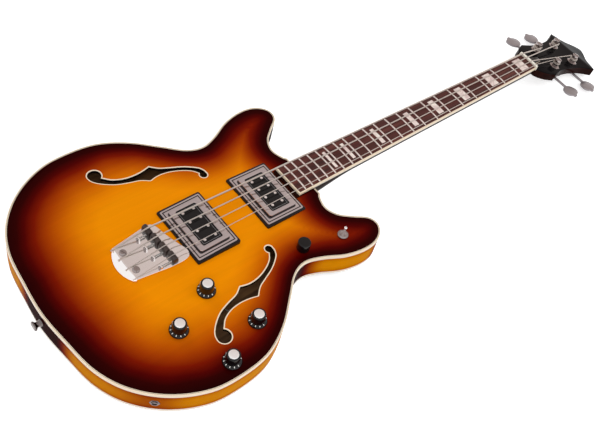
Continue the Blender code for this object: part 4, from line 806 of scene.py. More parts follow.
neck_finish = wood_finish("dark_lacquer", (6, 160, 160), [(0.25, (24, 9, 8)), (0.75, (48, 20, 15))],
                          (0.25, 0.38), Coat_Weight=0.4, Coat_Roughness=0.04, Coat_IOR=1.12,
                          Specular_IOR_Level=0.0)
stations = [TONGUE_START + (SCALE - TONGUE_START) * (k / STATIONS) ** STATION_SPREAD
            for k in range(STATIONS + 1)]
front = BODY_FRONT + GAP
tongue = []
shaft = []
for x in sorted(stations + [front]):
    heel = 1 - ease((x - BODY_FRONT) / HEEL_FADE)
    ring = neck_ring(x, board_half(x), NECK_TOP, SHAFT_DEPTH + (HEEL_DEPTH - SHAFT_DEPTH) * heel)
    if x <= front:
        tongue.append(ring)
    if x >= front:
        shaft.append(ring)
shaft.append(neck_ring(HEAD_ORIGIN, NUT_WIDTH / 2 - NUT_STEP, NECK_TOP - NUT_STEP, SHAFT_DEPTH))
volute_top = -HEAD_DROP - OVERLAY - VOLUTE_RUN * math.tan(HEAD_PITCH) - VOLUTE_SINK
shaft.append(neck_ring(HEAD_ORIGIN + VOLUTE_RUN, NUT_WIDTH / 2 - VOLUTE_NARROW, volute_top,
                       VOLUTE_DEPTH))
wedge = moved(skin(tongue), NECK)
section = cut(wedge, (0, 0, RIM_TOP), (0, 0, 1), clear_inner=True)["geom_cut"]
bmesh.ops.contextual_create(wedge, geom=[e for e in section if isinstance(e, bmesh.types.BMEdge)])
HEAD_OUTLINE = both_halves(smooth_path(HEAD_SHOULDER, CURVE_STEPS)[:-1]
                           + smooth_path(HEAD_WAIST, CURVE_STEPS)[:-1]
                           + smooth_path(HEAD_END, CURVE_STEPS)[:-CURVE_STEPS])
slab = moved(prism(HEAD_OUTLINE, -OVERLAY, -HEAD_THICK, HEAD_SOFT), HEAD)
neck = gather(moved(skin(shaft), NECK), wedge, slab)
add_piece("neck_and_heel", neck, [neck_finish], "root", ["neck"])

# Headstock facing and truss rod cover. The facing is black lacquer over a thin veneer, and is left
# bare. The cover is a small black plate with a pale core, over the pocket of the rod's nut.
COVER_START = 0.0030
COVER_LENGTH = 0.034
COVER_HALF = 0.0095
COVER_TIP_HALF = 0.0060
COVER_THICK = 0.0016
COVER_LAP = 0.0006
CORE_SHARE = 0.6
TIP_STEPS = 12
SEAT = 0.0001
lacquer_finish = plain_finish("black_lacquer", linear(13, 11, 13), 0.10, 0.22, Coat_Weight=0.6,
                              Coat_Roughness=0.03, Coat_IOR=1.12, Specular_IOR_Level=0.0)
add_piece("headstock_facing", moved(prism(HEAD_OUTLINE, -OVERLAY, 0, 0.0005), HEAD), [lacquer_finish],
          "root", ["headstock_overlay"])
tip = COVER_START + COVER_LENGTH - COVER_TIP_HALF
core = COVER_THICK * CORE_SHARE
cover = both_halves([(COVER_START, COVER_HALF)]
                    + [on_circle(COVER_TIP_HALF, math.pi / 2 * (1 - k / TIP_STEPS), tip)
                       for k in range(TIP_STEPS + 1)])
cover = gather(prism(cover, SEAT, core, finish=1),
               prism(grow(cover, COVER_LAP), core, GAP + COVER_THICK, 0.0003))
add_piece("rod_cover", moved(cover, HEAD), [black_finish, cream_finish], "root",
          ["truss_rod_cover"])

# Fretboard. Rosewood with a low crown, bound in cream, with pearl blocks let into eight spaces and
# 21 nickel frets pressed into sawn slots.
FRET_COUNT = 21
FRET_WIDTH = 0.0027
FRET_HEIGHT = 0.0010
FRET_SINK = 0.0003
FRET_SHY = 0.0002
FRET_ARC = 8
FRET_STEPS = 12
FRET_DROP = 0.0004
BOARD_CROWN = 0.0011
BOARD_BINDING = 0.0022
LINE_DEPTH = 0.0014
# Each block's space and its length along the board.
INLAYS = [(1, 0.0186), (3, 0.0170), (5, 0.0142), (7, 0.0116), (9, 0.0095), (12, 0.0072), (15, 0.0058),
          (17, 0.0051)]
INLAY_HALF = (0.0130, 0.0172)
INLAY_RISE = 0.00004
INLAY_DEEP = 0.001


def crown(share):
    """Rise of the fretboard's face at a share of its half width."""
    return BOARD_CROWN * (1 - share * share)


def crowned(x0, x1, half0, half1, low, high, steps, whole=None):
    """A strip across the board between two heights over its crown."""
    rings = []
    for x, half in ((x0, half0), (x1, half1)):
        shares = [2 * k / steps - 1 for k in range(steps + 1)]
        wide = half if whole is None else whole
        rings.append([(x, half * s, high + crown(half * s / wide)) for s in shares]
                     + [(x, half * s, low) for s in shares[::-1]])
    return skin(rings)


def fret_x(number):
    """Where a fret crosses the board, counted from the nut."""
    return SCALE * 2 ** (-number / 12)


rosewood_finish = wood_finish("rosewood_oiled", (7, 170, 170),
                              [(0.25, (48, 19, 15)), (0.55, (80, 33, 28)), (0.80, (112, 58, 48))],
                              (0.38, 0.55, 3 * DENT_DEPTH), 0.62, Specular_IOR_Level=0.35)
inset = BOARD_BINDING
start = BOARD_END + inset
wood = crowned(start, SCALE, board_half(start) - inset, board_half(SCALE) - inset, -BOARD_THICK, 0.0, 16)
add_piece("fretboard_wood", moved(wood, NECK), [rosewood_finish], "root", ["fretboard"])

pearl_finish, tree, shader, spots = start_finish("pearl", Coat_Weight=0.8, Coat_Roughness=0.05,
                                                 Roughness=0.25)
flow = noise(tree, spots, 95.0, 3.0, Distortion=1.2)
tree.links.new(ramp(tree, flow, [(0.30, (206, 178, 176)), (0.50, (238, 218, 210)),
                                 (0.70, (250, 240, 230))]), shader.inputs["Base Color"])
blocks = bmesh.new()
for space, length in INLAYS:
    middle = (fret_x(space - 1) + fret_x(space)) / 2
    share = along_board(middle)
    half = INLAY_HALF[0] * share + INLAY_HALF[1] * (1 - share)
    gather(blocks, crowned(middle - length / 2, middle + length / 2, half, half, -INLAY_DEEP,
                           INLAY_RISE, 10, board_half(middle)))
add_piece("pearl_blocks", moved(blocks, NECK), [pearl_finish], "root")

nickel_finish = plain_finish("fret_nickel", (0.95, 0.88, 0.84, 1), 0.30, 0.42, Metallic=1.0)
frets = bmesh.new()
for number in range(1, FRET_COUNT + 1):
    x = fret_x(number)
    half = board_half(x) - inset - FRET_SHY
    angles = [math.pi * k / FRET_ARC for k in range(FRET_ARC + 1)]
    arc = [(FRET_WIDTH / 2 * math.cos(a), FRET_HEIGHT * math.sin(a)) for a in angles]
    rings = []
    for k in range(FRET_STEPS + 1):
        share = 2 * k / FRET_STEPS - 1
        lift = crown(share) - (FRET_DROP if k in (0, FRET_STEPS) else 0)
        rings.append([(x + dx, half * share, dz + lift) for dx, dz in arc]
                     + [(x - FRET_WIDTH / 2, half * share, lift - FRET_SINK),
                        (x + FRET_WIDTH / 2, half * share, lift - FRET_SINK)])
    gather(frets, skin(rings))
add_piece("frets", moved(frets, NECK), [nickel_finish], "root")

first = board_half(BOARD_END)
last = board_half(SCALE)
bound = [(SCALE, last), (BOARD_END, first), (BOARD_END, -first), (SCALE, -last),
         (SCALE, inset - last), (start, inset - first), (start, first - inset), (SCALE, last - inset)]
line = LINE_DEPTH - BOARD_THICK
edging = gather(prism(bound, line, 0.0, 0.00025), prism(bound, -BOARD_THICK, line, finish=1))
add_piece("board_edging", moved(edging, NECK), [cream_finish, black_finish], "root",
          ["fretboard_binding"])

# Nut. A polished bone block across the board's end, with a slot filed for each string.
STRING_D = (0.00265, 0.00215, 0.00165, 0.00115)
STRING_NAMES = ("e", "a", "d", "g")
MIDDLE = 1.5
BRIDGE_PITCH = 0.0176
NUT_PITCH = 0.0104
RISE_AT_NUT = 0.0025
RISE_AT_SADDLE = 0.0067
NOTCH_GAP = 0.00012
BROW = 0.0004


def string_spot(index, x):
    """Centre of a string over the fretboard, in the neck's frame."""
    share = x / (SCALE + NUT_THICK)
    y = (MIDDLE - index) * (BRIDGE_PITCH + (NUT_PITCH - BRIDGE_PITCH) * share)
    rise = RISE_AT_SADDLE + (RISE_AT_NUT - RISE_AT_SADDLE) * share
    return Vector((x, y, rise + STRING_D[index] / 2))


bone_finish = plain_finish("bone", linear(240, 234, 220), 0.22, 0.34)
outline = []
for index in range(3, -1, -1):
    spot = string_spot(index, SCALE + NUT_THICK / 2)
    radius = STRING_D[index] / 2 + NOTCH_GAP
    outline.append((spot.y - radius, spot.z + BROW))
    outline += [on_circle(radius, math.pi * (1 + k / 8), spot.y, spot.z) for k in range(9)]
    outline.append((spot.y + radius, spot.z + BROW))
outline = ([(-NUT_WIDTH / 2, -BOARD_THICK), (-NUT_WIDTH / 2, outline[0][1] - NUT_STEP)] + outline
           + [(NUT_WIDTH / 2, outline[-1][1] - NUT_STEP), (NUT_WIDTH / 2, -BOARD_THICK)])
nut = skin([[(x, y, z) for y, z in outline] for x in (SCALE, SCALE + NUT_THICK)])
add_piece("bone_nut", moved(nut, NECK), [bone_finish], "root", ["nut"])

# Pickups. Each has a black plastic surround that follows the top, a stepped and plated brass cover
# with a window, and a black bobbin in the window with two rows of four slotted pole screws.
PICKUP_NAMES = ("bridge", "neck")
PICKUP_TILT = (0.0, math.radians(3.5))
PICKUP_BASE = (0.0105, 0.0030)
# Length, width and corner radius.
SURROUND = (0.071, 0.100, 0.0025)
FRAME = (0.0655, 0.0935, 0.0025)
COVER = (PLATE_LONG, PLATE_WIDE, 0.0037)
WINDOW = (0.0325, 0.066, 0.002)
FRAME_THICK = 0.0016
PLATE_RISE = 0.0068
COVER_WALL = 0.0015
BOBBIN_SINK = 0.0007
POLE_R = 0.0022
POLE_ROW = 0.0088
POLE_RISE = 0.0008
SURROUND_BURY = 0.0010
EDGE_ROUND = 0.0006
COVER_ROUND = 0.0009
GROOVE = (0.0026, 0.0042)
GROOVE_DEEP = 0.0008
BOBBIN_FOOT = -0.004
BOBBIN_GROOVE = 0.0003
POLE_FOOT = -0.0005
POLE_SLOT = (0.00035, 0.0005)


def turned(profile, steps=32, soft=0.0):
    """A round piece turned about Z from its radius and height points, with its corners softened."""
    bm = bmesh.new()
    path = softened(profile, soft) if soft else [Vector(p) for p in profile]
    verts = [bm.verts.new((max(p[0], 0.0), 0, p[1])) for p in path]
    edges = [bm.edges.new(pair) for pair in zip(verts, verts[1:])]
    bmesh.ops.spin(bm, geom=verts + edges, cent=(0, 0, 0), axis=(0, 0, 1), angle=2 * math.pi,
                   steps=steps, use_merge=True, use_duplicate=False)
    bmesh.ops.remove_doubles(bm, verts=bm.verts[:], dist=1e-6)
    return bm


def rod(radius, high, low, steps=16, soft=0.0):
    """A turned pin between two heights."""
    return turned([(0, high), (radius, high), (radius, low), (0, low)], steps, soft)


def sawn(bm, top, slot):
    """Saws a slot along Y into the flat top of a turned piece. The slot gives half its width, then
    its depth."""
    half, deep = slot
    floor = top - deep
    for spot, way in (((half, 0, 0), (1, 0, 0)), ((-half, 0, 0), (1, 0, 0)), ((0, 0, floor), (0, 0, 1))):
        cut(bm, spot, way, dist=1e-7)
    middles = [(face, face.calc_center_median()) for face in bm.faces]
    bmesh.ops.delete(bm, geom=[f for f, m in middles if abs(m.x) < half and m.z > floor],
                     context="FACES")
    rails = []
    for side in (half, -half):
        wall = [e for e in bm.edges if e.is_boundary and all(abs(v.co.x - side) < 1e-6 for v in e.verts)]
        joints = [v for e in wall for v in e.verts]
        rails.append(bm.edges.new([v for v in set(joints) if joints.count(v) == 1]))
        bmesh.ops.contextual_create(bm, geom=wall + rails[-1:])
    base = [e for e in bm.edges if e.is_boundary and all(abs(v.co.z - floor) < 1e-6 for v in e.verts)]
    bmesh.ops.contextual_create(bm, geom=base)
    return bm


def block_ring(shape, z, shrink=0.0):
    """A ring of points round a rounded block of a length, width and corner radius."""
    corner = max(shape[2] - shrink, 0.0003)
    return [(x, y, z) for x, y in rounded(shape[0] / 2 - shrink, shape[1] / 2 - shrink, corner)]


chrome_finish = plain_finish("chrome_plating", (0.92, 0.88, 0.87, 1), 0.06, 0.13, Metallic=1.0)
# A darker copy of the chrome for the pickup covers, as painted shade.
cover_shade_finish = plain_finish("cover_plating_painted_shade", (0.60, 0.55, 0.56, 1), 0.06, 0.13, Metallic=1.0)
# A near-black copy of the chrome: painted shade on the pickup covers' walls, groove and window sides.
painted_shade_finish = plain_finish("chrome_painted_shade", (0.045, 0.035, 0.033, 1), 0.10, 0.18, Metallic=1.0)
grey_finish = plain_finish("grey_plastic", linear(120, 116, 116), 0.30, 0.45)
for name, x, tilt, base in zip(PICKUP_NAMES, PICKUP_X, PICKUP_TILT, PICKUP_BASE):
    place = placed((x, 0, RIM_TOP + base), tilt, "Y")
    side = rounded(SURROUND[0] / 2, SURROUND[1] / 2, SURROUND[2])
    foot = [(a, b, top_z(x + a, b) - RIM_TOP - base - SURROUND_BURY + a * math.sin(tilt)) for a, b in side]
    rings = [foot] + [block_ring(SURROUND, z, shrink) for z, shrink in
                      ((-EDGE_ROUND, 0), (-EDGE_ROUND / 4, EDGE_ROUND / 4), (0, EDGE_ROUND))]
    add_piece(name + "_surround", moved(skin(rings), place), [black_finish], "root",
              [name + "_pickup_surround"])

    soft = COVER_ROUND
    sunk = FRAME_THICK - GROOVE_DEEP
    under = PLATE_RISE - COVER_WALL
    steps = [
        (FRAME, SEAT, 0), (FRAME, FRAME_THICK - soft, 0), (FRAME, FRAME_THICK - soft / 4, soft / 4),
        (FRAME, FRAME_THICK, soft), (FRAME, FRAME_THICK, GROOVE[0]), (FRAME, sunk, GROOVE[0]),
        (FRAME, sunk, GROOVE[1]), (FRAME, FRAME_THICK, GROOVE[1]), (COVER, FRAME_THICK, -soft),
        (COVER, FRAME_THICK + soft / 4, -soft / 4), (COVER, FRAME_THICK + soft, 0),
        (COVER, PLATE_RISE - soft, 0), (COVER, PLATE_RISE - soft / 4, soft / 4),
        (COVER, PLATE_RISE, soft), (WINDOW, PLATE_RISE, -soft),
        (WINDOW, PLATE_RISE - soft / 4, -soft / 4), (WINDOW, PLATE_RISE - soft, 0),
        (WINDOW, under, 0), (COVER, under, COVER_WALL), (COVER, SEAT, COVER_WALL)]
    # Faces marked 1 take the near-black chrome: painted shade on the walls, the groove and the window's
    # sides.
    marks = [1, 0, 0, 0, 1, 1, 1, 0, 1, 1, 1, 0, 0, 0, 0, 0, 1, 1, 1, 1]
    cover = skin([block_ring(*step) for step in steps], closed=True, marks=marks)
    add_piece(name + "_cover", moved(cover, place), [cover_shade_finish, painted_shade_finish], "root",
              [name + "_pickup_cover"])

    face = PLATE_RISE - BOBBIN_SINK
    sunk = face - BOBBIN_GROOVE
    bobbin = skin([block_ring(WINDOW, z, shrink) for z, shrink in (
        (BOBBIN_FOOT, GAP), (face, GAP), (face, 0.0022), (sunk, 0.0024), (sunk, 0.0027), (face, 0.0029))],
        marks=[0, 0, 1, 1, 1])
    spread = BRIDGE_PITCH + (NUT_PITCH - BRIDGE_PITCH) * x / SCALE
    for rank in range(4):
        for row in (1, -1):
            pole = rod(POLE_R, POLE_RISE, POLE_FOOT, 20, 0.0004)
            pole = sawn(pole, POLE_RISE, POLE_SLOT)
            spot = (row * POLE_ROW, spread * (MIDDLE - rank), face)
            gather(bobbin, moved(painted(pole, 2), placed(spot, 0.5 * rank + row, "Z")))
    add_piece(name + "_bobbin", moved(bobbin, place), [black_finish, grey_finish, chrome_finish], "root",
              [name + "_pickup_bobbin"])

# Bridge. A chromed steel plate, folded down behind in a curved lip that holds the string ends, with
# four lugs for the saddle screws. Two large slotted wood screws fix it to the block.
DECK_Z = 0.064
DECK_FOLD = -0.0590
DECK_TAIL_HALF = 0.0290
DECK_LOW = 0.0545
LIP_REACH = 0.0115
LIP_LOW = 0.0592
DECK = [(DECK_FOLD, DECK_TAIL_HALF), (DECK_FOLD, -DECK_TAIL_HALF), (-0.010, -0.036), (0.008, -0.0365),
        (0.018, -0.0345), (0.0220, -0.030), (0.0229, -0.023), (0.0185, -0.010), (0.0125, 0.011),
        (0.0095, 0.026), (0.006, 0.034), (0.001, 0.0365), (-0.010, 0.036)]
LUG_X = -0.0235
LUG_THICK = 0.0022
LUG_WIDE = 0.0060
SCREW_R = 0.0012
SCREW_HEAD_R = 0.0024
SCREW_HEAD = 0.0016
SCREW_RISE = 0.0030
SCREW_ASIDE = 0.0040
MOUNT_X = -0.0515
MOUNT_ASIDE = 0.0155
MOUNT_HEAD_R = 0.0053
MOUNT_HEAD = 0.0026
LIP_STEPS = 16
LIP_CURVE = 0.85
FOLD_LAP = DECK_FOLD + 0.002
MOUNT_SLOT = (0.0006, 0.0013)
# A darker copy of the chrome, as painted shade, for the screws, the toggle's bush and the tuners' base
# plates and posts.
dim_shade_finish = plain_finish("chrome_dimmed_painted_shade", (0.36, 0.31, 0.30, 1), 0.10, 0.18, Metallic=1.0)
plate = prism(DECK[:2] + smooth_path(DECK[2:], 4), DECK_LOW, DECK_Z, 0.0005)
rings = []
for k in range(2 * LIP_STEPS + 1):
    y = DECK_TAIL_HALF * (k / LIP_STEPS - 1)
    bulge = DECK_FOLD - LIP_REACH * (1 - LIP_CURVE * (y / DECK_TAIL_HALF) ** 2)
    profile = softened([(FOLD_LAP, DECK_LOW), (FOLD_LAP, DECK_Z - SEAT), (DECK_FOLD, DECK_Z),
                        (bulge, LIP_LOW), (bulge, DECK_LOW)], 0.0010)
    rings.append([(x, y, z) for x, z in profile])
gather(plate, skin(rings))
for rank in range(4):
    y = BRIDGE_PITCH * (MIDDLE - rank) - SCREW_ASIDE
    top = DECK_Z + SCREW_RISE + SCREW_HEAD_R
    gather(plate, box((LUG_X - LUG_THICK / 2, y - LUG_WIDE / 2, DECK_Z - 0.001),
                      (LUG_X + LUG_THICK / 2, y + LUG_WIDE / 2, top), 0.0005))
add_piece("bridge_deck", plate, [chrome_finish], "root", ["bridge_plate"])

# The mounting screws are in the darker chrome, as painted shade.
for name, side, turn in (("bass", 1, 0.4), ("treble", -1, -0.5)):
    screw = turned([(0, MOUNT_HEAD), (MOUNT_HEAD_R * 0.78, MOUNT_HEAD), (MOUNT_HEAD_R, MOUNT_HEAD * 0.45),
                    (MOUNT_HEAD_R, -0.0002), (0, -0.0002)], 32, 0.0012)
    screw = sawn(screw, MOUNT_HEAD, MOUNT_SLOT)
    screw = moved(screw, placed((MOUNT_X, side * MOUNT_ASIDE, DECK_Z), turn, "Z"))
    add_piece("mounting_screw_" + name, screw, [dim_shade_finish], "root",
              ["bridge_screw_" + name])

# Saddles. Four dark rosewood bars with rounded tops, each notched for its string and slid along
# the deck by its own slotted screw, which turns in a lug.
SADDLE_X = (-0.0070, -0.0055, -0.0040, -0.0025)
SADDLE_WIDE = 0.0166
SADDLE_HALF = 0.0045
SLIDE_GAP = 0.0005
TAIL_X = -0.063
THREAD_PITCH = 0.0008
SCREW_SLOT = (0.0003, 0.0008)
SADDLE_BROW = 0.0011
TAIL_SINK = 0.0006
# The saddle's arch, as shares of its half thickness and drops from its brow.
SADDLE_ARCH = [(-1, 0.0042), (-0.80, 0.0018), (-0.42, 0.0003), (0, 0), (0.42, 0.0003), (0.80, 0.0018),
               (1, 0.0042)]


def saddle_spot(index):
    """Where the middle of a string crosses its saddle."""
    return NECK @ string_spot(index, SADDLE_X[index])


def string_tail(index):
    """Where a string's end lies in its hole behind the fold."""
    return Vector((TAIL_X, saddle_spot(index).y, DECK_Z - TAIL_SINK))


def ridged(name, colour, pitch, depth, **settings):
    """A metal with fine turns across it, spaced along the length that is stored on the piece."""
    finish, tree, shader, spots = start_finish(name, Base_Color=colour, Metallic=1.0, **settings)
    run = add_node(tree, "Attribute", attribute_name="run").outputs["Fac"]
    wave = maths(tree, "SINE", maths(tree, "MULTIPLY", run, 2 * math.pi / pitch))
    bump = add_node(tree, "Bump", {"Strength": 1.0, "Distance": depth, "Height": wave})
    tree.links.new(bump.outputs[0], shader.inputs["Normal"])
    return finish


thread_finish = ridged("screw_thread", (0.74, 0.72, 0.70, 1), THREAD_PITCH, 0.0002, Roughness=0.2)
saddle_finish = wood_finish("dark_saddle_wood", (60, 90, 90), [(0.3, (34, 25, 23)), (0.7, (66, 52, 48))],
                            (0.30, 0.45), Specular_IOR_Level=0.4)
for index, name in enumerate(STRING_NAMES):
    spot = saddle_spot(index)
    floor = DECK_Z + SEAT - spot.z
    notch = -STRING_D[index] / 2 - SLIDE_GAP
    brow = SADDLE_BROW - STRING_D[index] / 2
    arch = smooth_path([(SADDLE_HALF * share, brow - fall) for share, fall in SADDLE_ARCH], 4)
    full = [(-SADDLE_HALF, floor)] + arch + [(SADDLE_HALF, floor)]
    tail = string_tail(index) - spot
    ahead = NECK @ string_spot(index, 0.1) - spot
    low = [(x, min(z, notch + (tail.z / tail.x if x < 0 else ahead.z / ahead.x) * x)) for x, z in full]
    reach = STRING_D[index] / 2 + NOTCH_GAP
    wide = SADDLE_WIDE / 2
    # Across the bar: how far its section is drawn in, and None where the notch is.
    cuts = [(-wide, 0.0016), (-wide + 0.0005, 0.0005), (-wide + 0.0016, 0.0), (-reach - 0.0002, 0.0),
            (-reach + 0.0001, None), (reach - 0.0001, None), (reach + 0.0002, 0.0),
            (wide - 0.0016, 0.0), (wide - 0.0005, 0.0005), (wide, 0.0016)]
    rings = [[(x * (1 - (shy or 0) / SADDLE_HALF), y, max(z - (shy or 0), floor))
              for x, z in (low if shy is None else full)] for y, shy in cuts]
    add_piece("saddle_bar_" + name, moved(skin(rings), Matrix.Translation(spot)), [saddle_finish],
              "saddle_" + name, ["saddle_" + name])

    head = LUG_THICK / 2 + GAP
    axis = (LUG_X, BRIDGE_PITCH * (MIDDLE - index) - SCREW_ASIDE, DECK_Z + SCREW_RISE)
    screw = turned([(0, head + SCREW_HEAD), (SCREW_HEAD_R * 0.8, head + SCREW_HEAD),
                    (SCREW_HEAD_R, head + 0.0006), (SCREW_HEAD_R, head), (0, head)], 24, 0.0004)
    screw = sawn(screw, head + SCREW_HEAD, SCREW_SLOT)
    screw = moved(screw, Matrix.Rotation(0.7 * index, 4, "Z"))
    gather(screw, painted(rod(SCREW_R, -head, LUG_X - spot.x), 1), rod(SCREW_R, head, -head))
    # The screw's head is in the darker chrome, as painted shade.
    screw = add_piece("adjusting_screw_" + name, moved(screw, placed(axis, -math.pi / 2, "Y")),
                      [dim_shade_finish, thread_finish], "saddle_screw_" + name,
                      ["saddle_screw_" + name])
    store(screw, "run", [v.co.x for v in screw.data.vertices])

# Controls. Five black knobs on the pots' shafts: four with a white-ticked skirt and a bare silver
# cap, and a small plain one on the horn. Each shaft turns with its knob.
KNOB_AT = [("neck_volume", 0.009, -0.0875), ("neck_tone", 0.040, -0.158),
           ("bridge_volume", -0.0535, -0.1155), ("bridge_tone", -0.022, -0.186)]
MASTER_AT = (0.165, -0.101)
KNOB_LIFT = 0.0018
KNOB_BASE = KNOB_LIFT - 0.0006
KNOB = [(0, 0.0168), (0.0080, 0.0168), (0.0087, 0.0174), (0.0092, 0.0166), (0.0096, 0.0060),
        (0.0100, 0.0045), (0.0120, 0.0032), (0.0130, 0.0014), (0.0130, 0), (0, 0)]
KNOB_CAP = [(0, 0.0185), (0.0062, 0.0185), (0.0069, 0.0178), (0.0069, 0.0160), (0, 0.0160)]
MASTER = [(0, 0.0150), (0.0083, 0.0150), (0.0093, 0.0140), (0.0095, 0), (0, 0)]
TICKS = 11
TICK = ((-0.0010, -0.0005, -0.0004), (0.0010, 0.0005, 0.00015))
POINTER = ((0.0094, -0.0004, 0.0075), (0.0098, 0.0004, 0.0160))
TICK_AT = (0.0110, 0, 0.00385)
TICK_SWEEP = math.radians(300)
TICK_LEAN = math.radians(33)
POINTER_TURN = 2.2
SHAFT_R = 0.003
SHAFT_END = -0.0095
white_finish = plain_finish("white_paint", linear(235, 232, 226), 0.35, 0.50)
silver_finish = plain_finish("silver_cap", (0.97, 0.95, 0.94, 1), 0.38, 0.50, Metallic=1.0)
for name, x, y in KNOB_AT:
    knob = gather(turned(KNOB, 64, 0.0005), painted(turned(KNOB_CAP, 48, 0.0005), 1))
    for k in range(TICKS):
        turn = Matrix.Rotation(TICK_SWEEP * (k / (TICKS - 1) - 0.5), 4, "Z")
        gather(knob, moved(box(*TICK, finish=2), turn @ placed(TICK_AT, TICK_LEAN, "Y")))
    gather(knob, box(*POINTER, finish=2))
    knob = moved(knob, placed((0, 0, KNOB_BASE), POINTER_TURN, "Z"))
    gather(knob, painted(rod(SHAFT_R, KNOB_LIFT, SHAFT_END), 3))
    add_piece(name + "_dial", moved(knob, Matrix.Translation((x, y, top_z(x, y)))),
              [black_finish, silver_finish, white_finish, steel_finish], name + "_knob",
              [name + "_knob"])
knob = moved(turned(MASTER, 48, 0.0008), Matrix.Translation((0, 0, KNOB_BASE)))
gather(knob, painted(rod(SHAFT_R, KNOB_LIFT, SHAFT_END), 1))
add_piece("master_dial", moved(knob, Matrix.Translation((*MASTER_AT, top_z(*MASTER_AT)))),
          [black_finish, steel_finish], "master_knob", ["master_knob"])

# Selector switch. A chromed lever with a rounded tip swings in a bush, which a knurled ring nut
# holds in the treble horn.
TOGGLE_AT = (0.229, -0.114)
TOGGLE_PIVOT = 0.0040
TOGGLE_REACH = 0.0180
TOGGLE_LEAN = math.radians(18.0)
TOGGLE_HEADING = math.radians(28.0)
LEVER_R = 0.0013
LEVER_BALL = 0.0024
LEVER_TIP = 0.0026
NOTCHES = 24
toggle_place = Matrix.Translation((*TOGGLE_AT, top_z(*TOGGLE_AT)))
outline = [on_circle(radius, 2 * math.pi * (k + part) / NOTCHES) for k in range(NOTCHES)
           for radius, part in ((0.0080, -0.28), (0.0080, 0.28), (0.0075, 0.38), (0.0075, 0.62))]
bush = turned([(0, -0.022), (0.0090, -0.022), (0.0090, -0.0053), (0.0060, -0.0053), (0.0060, SEAT),
               (0.0072, 0.0010), (0.0072, 0.0026), (0.0066, 0.0030), (0.0048, 0.0036), (0.0029, 0.0020),
               (0.0028, -0.0067), (0, -0.0067)], 40, 0.0003)
gather(bush, prism(outline, SEAT, 0.0024, 0.0004))
# The bush is in the darker chrome, as painted shade.
add_piece("toggle_bush", moved(bush, toggle_place), [dim_shade_finish], "root", ["toggle_body"])
lever = turned([
    (0, -LEVER_BALL), (LEVER_BALL * 0.7, -LEVER_BALL * 0.7), (LEVER_BALL, 0), (LEVER_R, LEVER_BALL * 0.8),
    (LEVER_R, TOGGLE_REACH - 0.0060), (LEVER_TIP, TOGGLE_REACH - 0.0030),
    (LEVER_TIP, TOGGLE_REACH - 0.0010), (LEVER_TIP * 0.6, TOGGLE_REACH), (0, TOGGLE_REACH)], 28, 0.0010)
toggle_frame = (toggle_place @ Matrix.Translation((0, 0, -TOGGLE_PIVOT))
                @ Matrix.Rotation(TOGGLE_HEADING, 4, "Z") @ Matrix.Rotation(TOGGLE_LEAN, 4, "Y"))
add_piece("toggle_stick", moved(lever, toggle_frame), [chrome_finish], "toggle_lever",
          ["toggle_lever"])

# Output jack and strap buttons. The jack is a threaded barrel through the rim, held by a hexagon
# nut on a washer. Each button is turned steel on its own wood screw.
JACK_FACE = Vector((-0.1263761, -0.171829, 0.029))
JACK_AXIS = Vector((-0.6777466, -0.7352955, 0))
JACK_STAND = 0.0042
NUT_CORNER_R = 0.0070
RIM_MIDDLE = 0.029
HEEL_BUTTON = Vector((0.278, 0, 0.0215))
# A dark copy of the chrome, as painted shade, for the jack and the strap buttons.
dark_shade_finish = plain_finish("chrome_dark_painted_shade", (0.17, 0.145, 0.14, 1), 0.08, 0.15, Metallic=1.0)
jack_turn = JACK_AXIS.to_track_quat("Z", "Y").to_matrix().to_4x4()
jack_place = Matrix.Translation(JACK_FACE - JACK_AXIS * JACK_STAND) @ jack_turn
barrel = turned([(0, -0.0220), (0.0075, -0.0220), (0.0075, -0.0037), (0.0046, -0.0037), (0.0046, 0.0042),
                 (0.0033, 0.0042), (0.0033, -0.0200), (0, -0.0200)], 40, 0.0004)
add_piece("jack_barrel", moved(barrel, jack_place), [dark_shade_finish], "root", ["output_jack"])
washer = turned([(0.0047, SEAT), (0.0072, SEAT), (0.0072, 0.0007), (0.0047, 0.0007)], 40)
hexagon = [on_circle(NUT_CORNER_R, math.pi * k / 3) for k in range(6)]
jack_nut = gather(washer, prism(hexagon, 0.0006, 0.0030, 0.0004))
add_piece("jack_nut", moved(jack_nut, jack_place), [dark_shade_finish], "root",
          ["output_jack_nut"])
BUTTON_RISE = 0.0115
BUTTON_SLOT = (0.0005, 0.0010)
BUTTON = [(0, BUTTON_RISE), (0.0062, BUTTON_RISE), (0.0070, 0.0103), (0.0064, 0.0089),
          (0.0038, 0.0070), (0.0040, 0.0035), (0.0055, SEAT), (0.0017, SEAT), (0.0017, -0.010), (0, -0.010)]
for name, seat in (("tail", placed((BODY_HALF[0][0], 0, RIM_MIDDLE), -math.pi / 2, "Y")),
                   ("heel", placed(HEEL_BUTTON, math.pi, "X"))):
    button = sawn(turned(BUTTON, 36, 0.0006), BUTTON_RISE, BUTTON_SLOT)
    add_piece(name + "_button", moved(button, seat), [dark_shade_finish], "root",
              ["strap_button_" + name])

